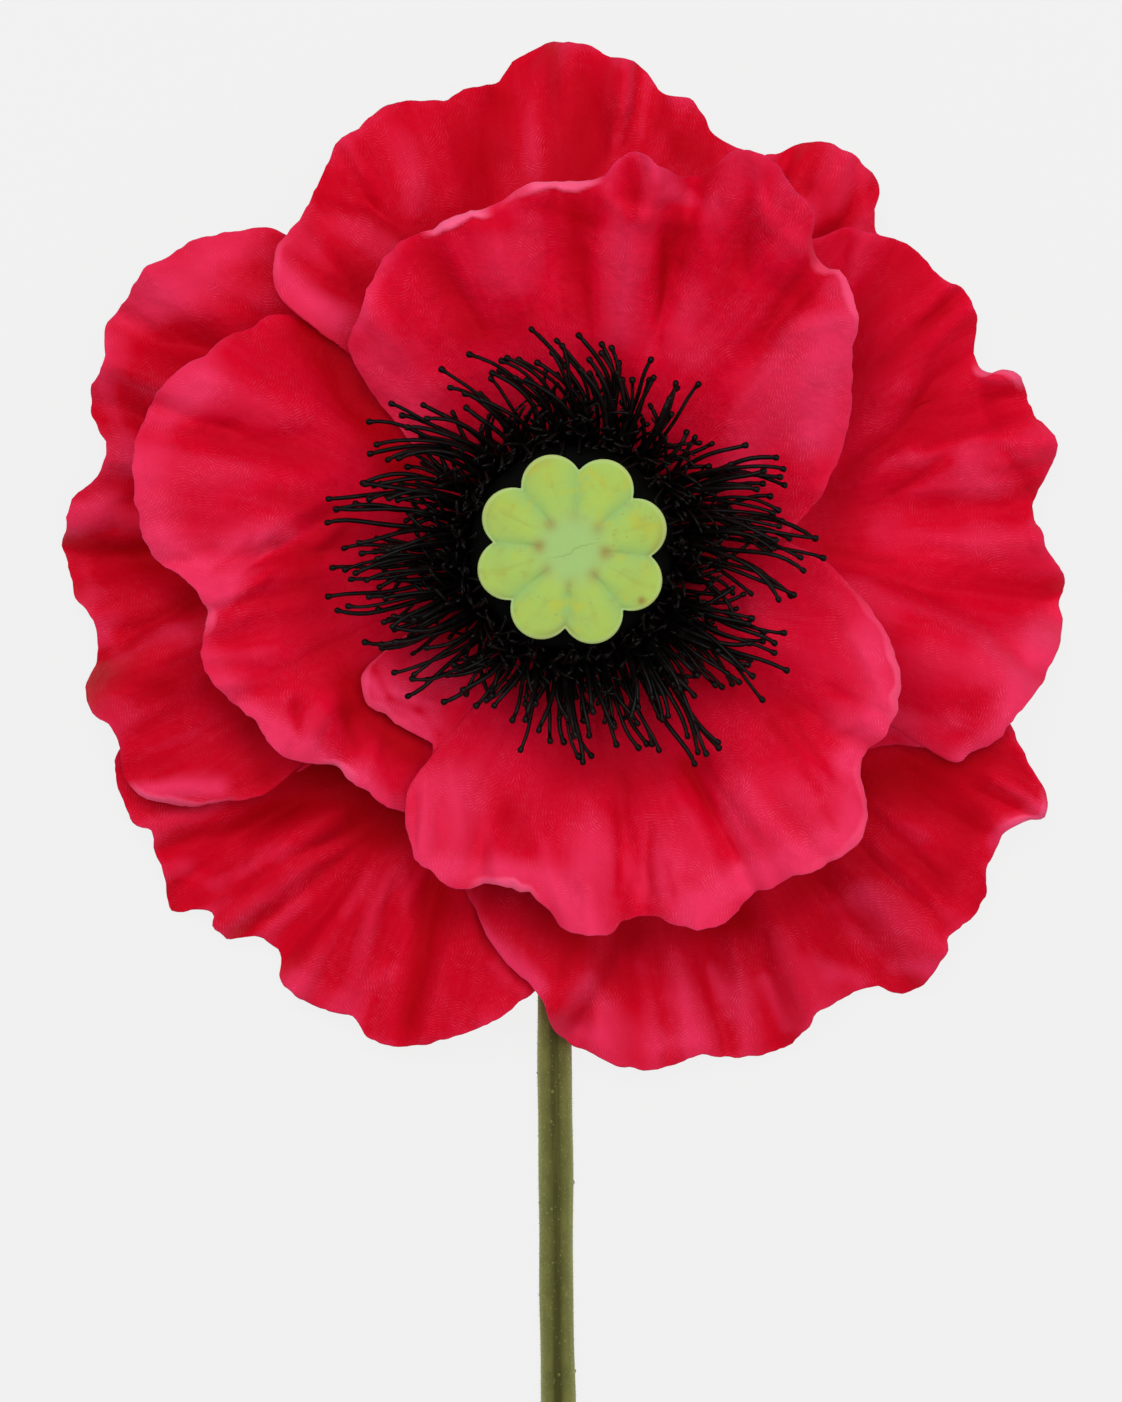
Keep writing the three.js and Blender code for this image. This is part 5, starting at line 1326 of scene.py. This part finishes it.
def buildCapsule():
    segments = capsuleLook["segments"]
    angle = np.arange(segments) * 360 / segments
    phase, reach = lobePhase(angle), lobedReach(angle)
    rings = []

    def addRing(radius, height):
        x, y = polar(angle, radius)
        rings.append(np.stack([x, y, np.broadcast_to(height, x.shape)], axis=1))

    body = curveThrough(capsuleLook["body"], 44)
    ribs = capsuleLook["ribs"] * np.cos(np.radians((angle - capsuleLook["turn"]) * capsuleLook["lobes"]))
    for radius, height in body:
        addRing(radius * (1 + ribs * smooth((height - 3) / 4)), capsuleFoot + height)
    under = discTop - capsuleLook["discDepth"]
    addRing(reach * 0.9, under - 0.1)
    addRing(reach - 0.2, under)
    for turn in (-60, -25, 10, 45, 75):    # rounded rim
        side = 1.6 if turn > 0 else 0.3
        addRing(reach - 0.2 + 0.2 * np.cos(np.radians(turn)), under + side + 0.3 * np.sin(np.radians(turn)))
    for share in np.linspace(0.975, 0.04, 40):
        addRing(reach * share, discHeight(share, phase, reach * share))
    faces = gridFaces(len(rings), segments, closed=True)
    faces.append(tuple(reversed(range(segments))))
    last = (len(rings) - 1) * segments
    faces.append(tuple(last + i for i in range(segments)))
    crackPoints, crackFaces = crackStrip()
    crackStart = last + segments
    faces += [tuple(crackStart + i for i in face) for face in crackFaces]
    points = np.vstack([*rings, crackPoints])
    radius = np.hypot(points[:, 0], points[:, 1])
    around = np.concatenate([np.tile(angle, len(rings)), np.zeros(len(crackPoints))])
    maps = np.stack([around / 6, radius], axis=1)
    turn = np.degrees(np.arctan2(points[:, 1], points[:, 0]))
    ring = np.arange(len(points)) // segments
    onBody = (ring < len(body)).astype(float)
    onRim = (ring > len(body)) & (ring < len(body) + 8)
    shifted = points + np.outer(1 - onBody, (0, capsuleLook["discShift"], 0))
    piece = addPiece("podWithDisc", shifted, faces, capsuleMaterial(), "seed_capsule", maps)
    setMasks(piece, {
        "crack": ring >= len(rings),
        "groove": lobePhase(turn) ** 2.4 * smooth((radius - 2) / 3),
        "stain": discStains(points[:, 0], points[:, 1]),
        "body": onBody,
        "discRim": onRim * capsuleLook["rimPaleness"],
        "discMiddle": np.exp(-(radius / 4.4) ** 6) * 0.8,
    })


buildCapsule()
print("capsule done")


# Stem

stemLook = {
    "seed": 9,
    "sides": 36,
    "steps": 92,                # points along its straight part
    "neckSteps": 16,
    "receptacle": [    # (radius, depth below its top)
        (2.2, 8.4), (3.3, 8.1), (4.4, 7.2), (4.85, 6.2), (4.9, 3), (4.85, 0.7), (4.5, 0.15), (3.6, 0),
    ],
    "receptacleSides": 48,
    "warts": 170,               # small round bumps
    "wartSize": 0.22,
    "wartRings": ((1, -0.4), (0.85, 0.3), (0.4, 0.62)),    # (share of width, rise)
    "wartSides": 7,
    "fuzz": 6000,               # short soft fibres
    "fuzzLength": 0.2,
    "fuzzWidth": 0.022,
    "olive": (0.14, 0.14, 0.032, 1),
    "darkOlive": (0.1, 0.1, 0.022, 1),
    "topShadeOlive": (0.032, 0.03, 0.001, 1),    # painted shade: a darker band along its upper side, as the velvet looks from above
    # painted sheen on the stem's sides
    "sideSheenOlive": (0.185, 0.2, 0.05, 1),
    "pale": (0.33, 0.33, 0.13, 1),
}


def stemPath():    # the middle line, with its bevelled start first, and the radius at each point
    level = stemWidth / 2
    along = np.linspace(stemStart, neckStart, stemLook["steps"])
    straight = [(stemLine(y), y, level) for y in along[:-1]]
    beside = stemLine(neckStart)
    controls = np.array([
        (beside, neckStart, level), (beside * 0.5, -neckBend * 0.35, level),
        (0, 0, level + neckBend * 0.3), (0, 0, level + neckBend),
    ])
    neck = []
    for t in np.linspace(0, 1, stemLook["neckSteps"]):
        weights = ((1 - t) ** 3, 3 * t * (1 - t) ** 2, 3 * t * t * (1 - t), t ** 3)
        neck.append(sum(weight * control for weight, control in zip(weights, controls)))
    path = np.vstack([straight, neck])
    path[:, 0] += 0.05 * np.sin(path[:, 1] / 11) + 0.04 * np.sin(path[:, 1] / 4.3)    # a slight sway
    radii = level - 0.06 + 0.06 * np.sin(path[:, 1] / 7) * np.sin(path[:, 1] / 3.1)
    radii = np.concatenate([[level * 0.8], radii])
    path = np.vstack([path[:1], path])
    path[1, 1] += 0.25
    return path, radii


def stemSpot(tube, path, draw):    # a random place on the stem's skin and the way out from it
    ring = draw.randrange(2, len(tube) - 6)
    side = draw.randrange(stemLook["sides"])
    foot = tube[ring, side] + (tube[ring + 1, side] - tube[ring, side]) * draw.random()
    foot = foot + (tube[ring, side - 1] - tube[ring, side]) * draw.random()
    out = foot - path[ring]
    out[1] = 0
    return foot, out / np.linalg.norm(out)


def stemMaterial():
    look = stemLook
    material, tree, shader = startMaterial("stemVelvet", {
        "Roughness": 0.85, "Specular IOR Level": 0.25, "Sheen Weight": 0.65, "Sheen Roughness": 0.4,
        "Sheen Tint": (0.85, 0.85, 0.5, 1),
    })
    place = placeOf(tree)
    patches = useGroup(tree, mottleGroup, place, Size=3.0, Low=0.35, High=0.65)
    grain = useGroup(tree, mottleGroup, place, Size=0.35, Low=0.52, High=0.72)
    specks = useGroup(tree, speckGroup, place, Size=0.6, Reach=0.22)
    streaks = useGroup(tree, veinGroup, growthOf(tree), Spacing=0.45, Stretch=24.0)
    layColours(tree, shader, look["darkOlive"], [
        (patches, look["olive"]),
        (grain, look["olive"]),
        (pointMask(tree, "sideSheen"), look["sideSheenOlive"]),
        (pointMask(tree, "topShade"), look["topShadeOlive"]),
        (between(tree, streaks, 0.45, 0.7, 0.5), look["darkOlive"]),
        (scaled(tree, specks, 0.5), look["pale"]),
    ])
    addBumps(tree, shader, (grain, 0.6, 0.12), (streaks, 0.4, 0.15), (specks, 0.4, 0.08))
    return material


def buildStem():
    look = stemLook
    path, radii = stemPath()
    tube = tubeRings(path, radii, look["sides"])
    tube[0] = path[0] + (tube[1] - path[1]) * 0.82    # the bevel at the cut end
    base = capsuleFoot - 0.3
    profile = curveThrough([(radius, base - depth) for radius, depth in look["receptacle"]], 26)
    receptacle = turnedRings(profile, look["receptacleSides"])
    points = [tube.reshape(-1, 3), receptacle.reshape(-1, 3)]
    faces = tubeFaces(len(tube), look["sides"], 0)
    faces += tubeFaces(len(receptacle), look["receptacleSides"], len(points[0]))
    wartStart = start = len(points[0]) + len(points[1])
    draw = random.Random(look["seed"])
    lengthwise = np.array([0, 1.0, 0])
    sides, wartRings = look["wartSides"], look["wartRings"]
    around = np.arange(sides)[:, None] * 2 * np.pi / sides
    for i in range(look["warts"]):
        foot, out = stemSpot(tube, path, draw)
        size = look["wartSize"] * draw.uniform(0.5, 1.1)
        ring = np.cross(out, lengthwise) * np.cos(around) + lengthwise * 1.3 * np.sin(around)
        points += [foot + (ring * wide + out * rise) * size for wide, rise in wartRings]
        faces += tubeFaces(len(wartRings), sides, start)
        start += len(wartRings) * sides
    wartStop = start
    for i in range(look["fuzz"]):
        foot, out = stemSpot(tube, path, draw)
        if out[2] < -0.75:    # none underneath
            continue
        tip = foot + out * look["fuzzLength"] * draw.uniform(0.4, 1)
        tip += [draw.uniform(-0.1, 0.1), draw.uniform(-0.15, 0.15), draw.uniform(-0.05, 0.1)]
        across = np.cross(out, lengthwise) * look["fuzzWidth"]
        along = lengthwise * look["fuzzWidth"]
        inside = foot - out * 0.03    # its root is sunk into the skin
        behind = inside - across * 0.5
        points.append(np.array([inside + across, behind + along, behind - along, tip]))
        corners = ((0, 1, 3), (1, 2, 3), (2, 0, 3), (0, 2, 1))
        faces += [tuple(start + corner for corner in face) for face in corners]
        start += 4
    points = np.vstack(points)
    points[:, 2] = np.maximum(points[:, 2], 0.0)
    turn = np.arctan2(points[:, 2] - stemWidth / 2, points[:, 0] - stemLine(points[:, 1]))
    maps = np.stack([np.degrees(turn) / 30, points[:, 1]], axis=1)
    piece = addPiece("velvetStem", points, faces, stemMaterial(), "stem", maps)
    aside = np.abs(np.cos(turn))
    upper = np.clip(np.sin(turn) * 3, 0, 1)
    # painted shade along the stem's top and painted sheen on its sides, as velvet shows them from above
    topShade = (1 - smooth((aside - 0.12) / 0.36)) * upper * (0.86 + 0.08 * np.sin(points[:, 1] / 9))
    sideSheen = smooth((aside - 0.5) / 0.45)
    topShade[wartStart:wartStop] *= 0.4    # painted highlights: the bumps are paler than the painted shade band
    sideSheen[wartStart:wartStop] = 1
    setMasks(piece, {"topShade": topShade, "sideSheen": sideSheen})


buildStem()
print("stem done")


# Table, light and camera

studio = {
    "floorColour": (0.03, 0.03, 0.03, 1),
    "floorGlow": 0.845,
    "world": 0.345,
    "key": 6.7,
    "keySize": 0.7,
    "keyPlace": (-0.3, 0.4, 0.95),    # from the bloom, in metres
    "fill": 5.8,
    "fillSize": 0.9,
    "fillPlace": (0.5, 0.05, 1.0),
    "cameraHeight": 1.8,
    "pixelSize": 0.118,         # millimetres on the plane of the petals' edges
    "planeHeight": 12.0,
    "bloomPixel": (572, 549),
    "frame": (1122, 1402),
}


def addLamp(name, power, size, place):    # a soft light that faces the bloom
    light = bpy.data.lights.new(name, "AREA")
    light.energy = power
    light.size = size
    lamp = bpy.data.objects.new(name, light)
    bpy.context.collection.objects.link(lamp)
    lamp.location = (bloomAxis[0] + place[0], bloomAxis[1] + place[1], place[2])
    lamp.rotation_mode = "QUATERNION"
    lamp.rotation_quaternion = (-Vector(place)).to_track_quat("-Z", "Y")


def buildStudio():
    scene = bpy.context.scene
    scene.view_settings.view_transform = "Standard"
    bpy.ops.mesh.primitive_plane_add(size=6, location=(0, 0, -0.0003))
    floor = bpy.context.object
    floor.name = "paleTable"
    floor.data.materials.append(startMaterial("paleTable", {
        "Base Color": studio["floorColour"], "Roughness": 0.9, "Specular IOR Level": 0.1,
        "Emission Color": (1, 1, 1, 1), "Emission Strength": studio["floorGlow"],
    })[0])
    scene.world = bpy.data.worlds.new("softRoom")
    scene.world.use_nodes = True
    background = scene.world.node_tree.nodes["Background"].inputs
    background["Color"].default_value = (1, 1, 1, 1)
    background["Strength"].default_value = studio["world"]
    addLamp("keyLight", studio["key"], studio["keySize"], studio["keyPlace"])
    addLamp("fillLight", studio["fill"], studio["fillSize"], studio["fillPlace"])
    camera = bpy.data.cameras.new("plateCamera")
    camera.sensor_fit = "VERTICAL"
    camera.sensor_width = camera.sensor_height = 36
    width, height = studio["frame"]
    pixel = studio["pixelSize"]
    distance = studio["cameraHeight"] / mm - studio["planeHeight"]
    camera.lens = camera.sensor_height * distance / (height * pixel)
    view = bpy.data.objects.new("plateCamera", camera)
    bpy.context.collection.objects.link(view)
    x = bloomAxis[0] + (width / 2 - studio["bloomPixel"][0]) * pixel * mm
    y = bloomAxis[1] - (height / 2 - studio["bloomPixel"][1]) * pixel * mm
    view.location = (x, y, studio["cameraHeight"])
    scene.camera = view


buildStudio()

print("all pieces made")
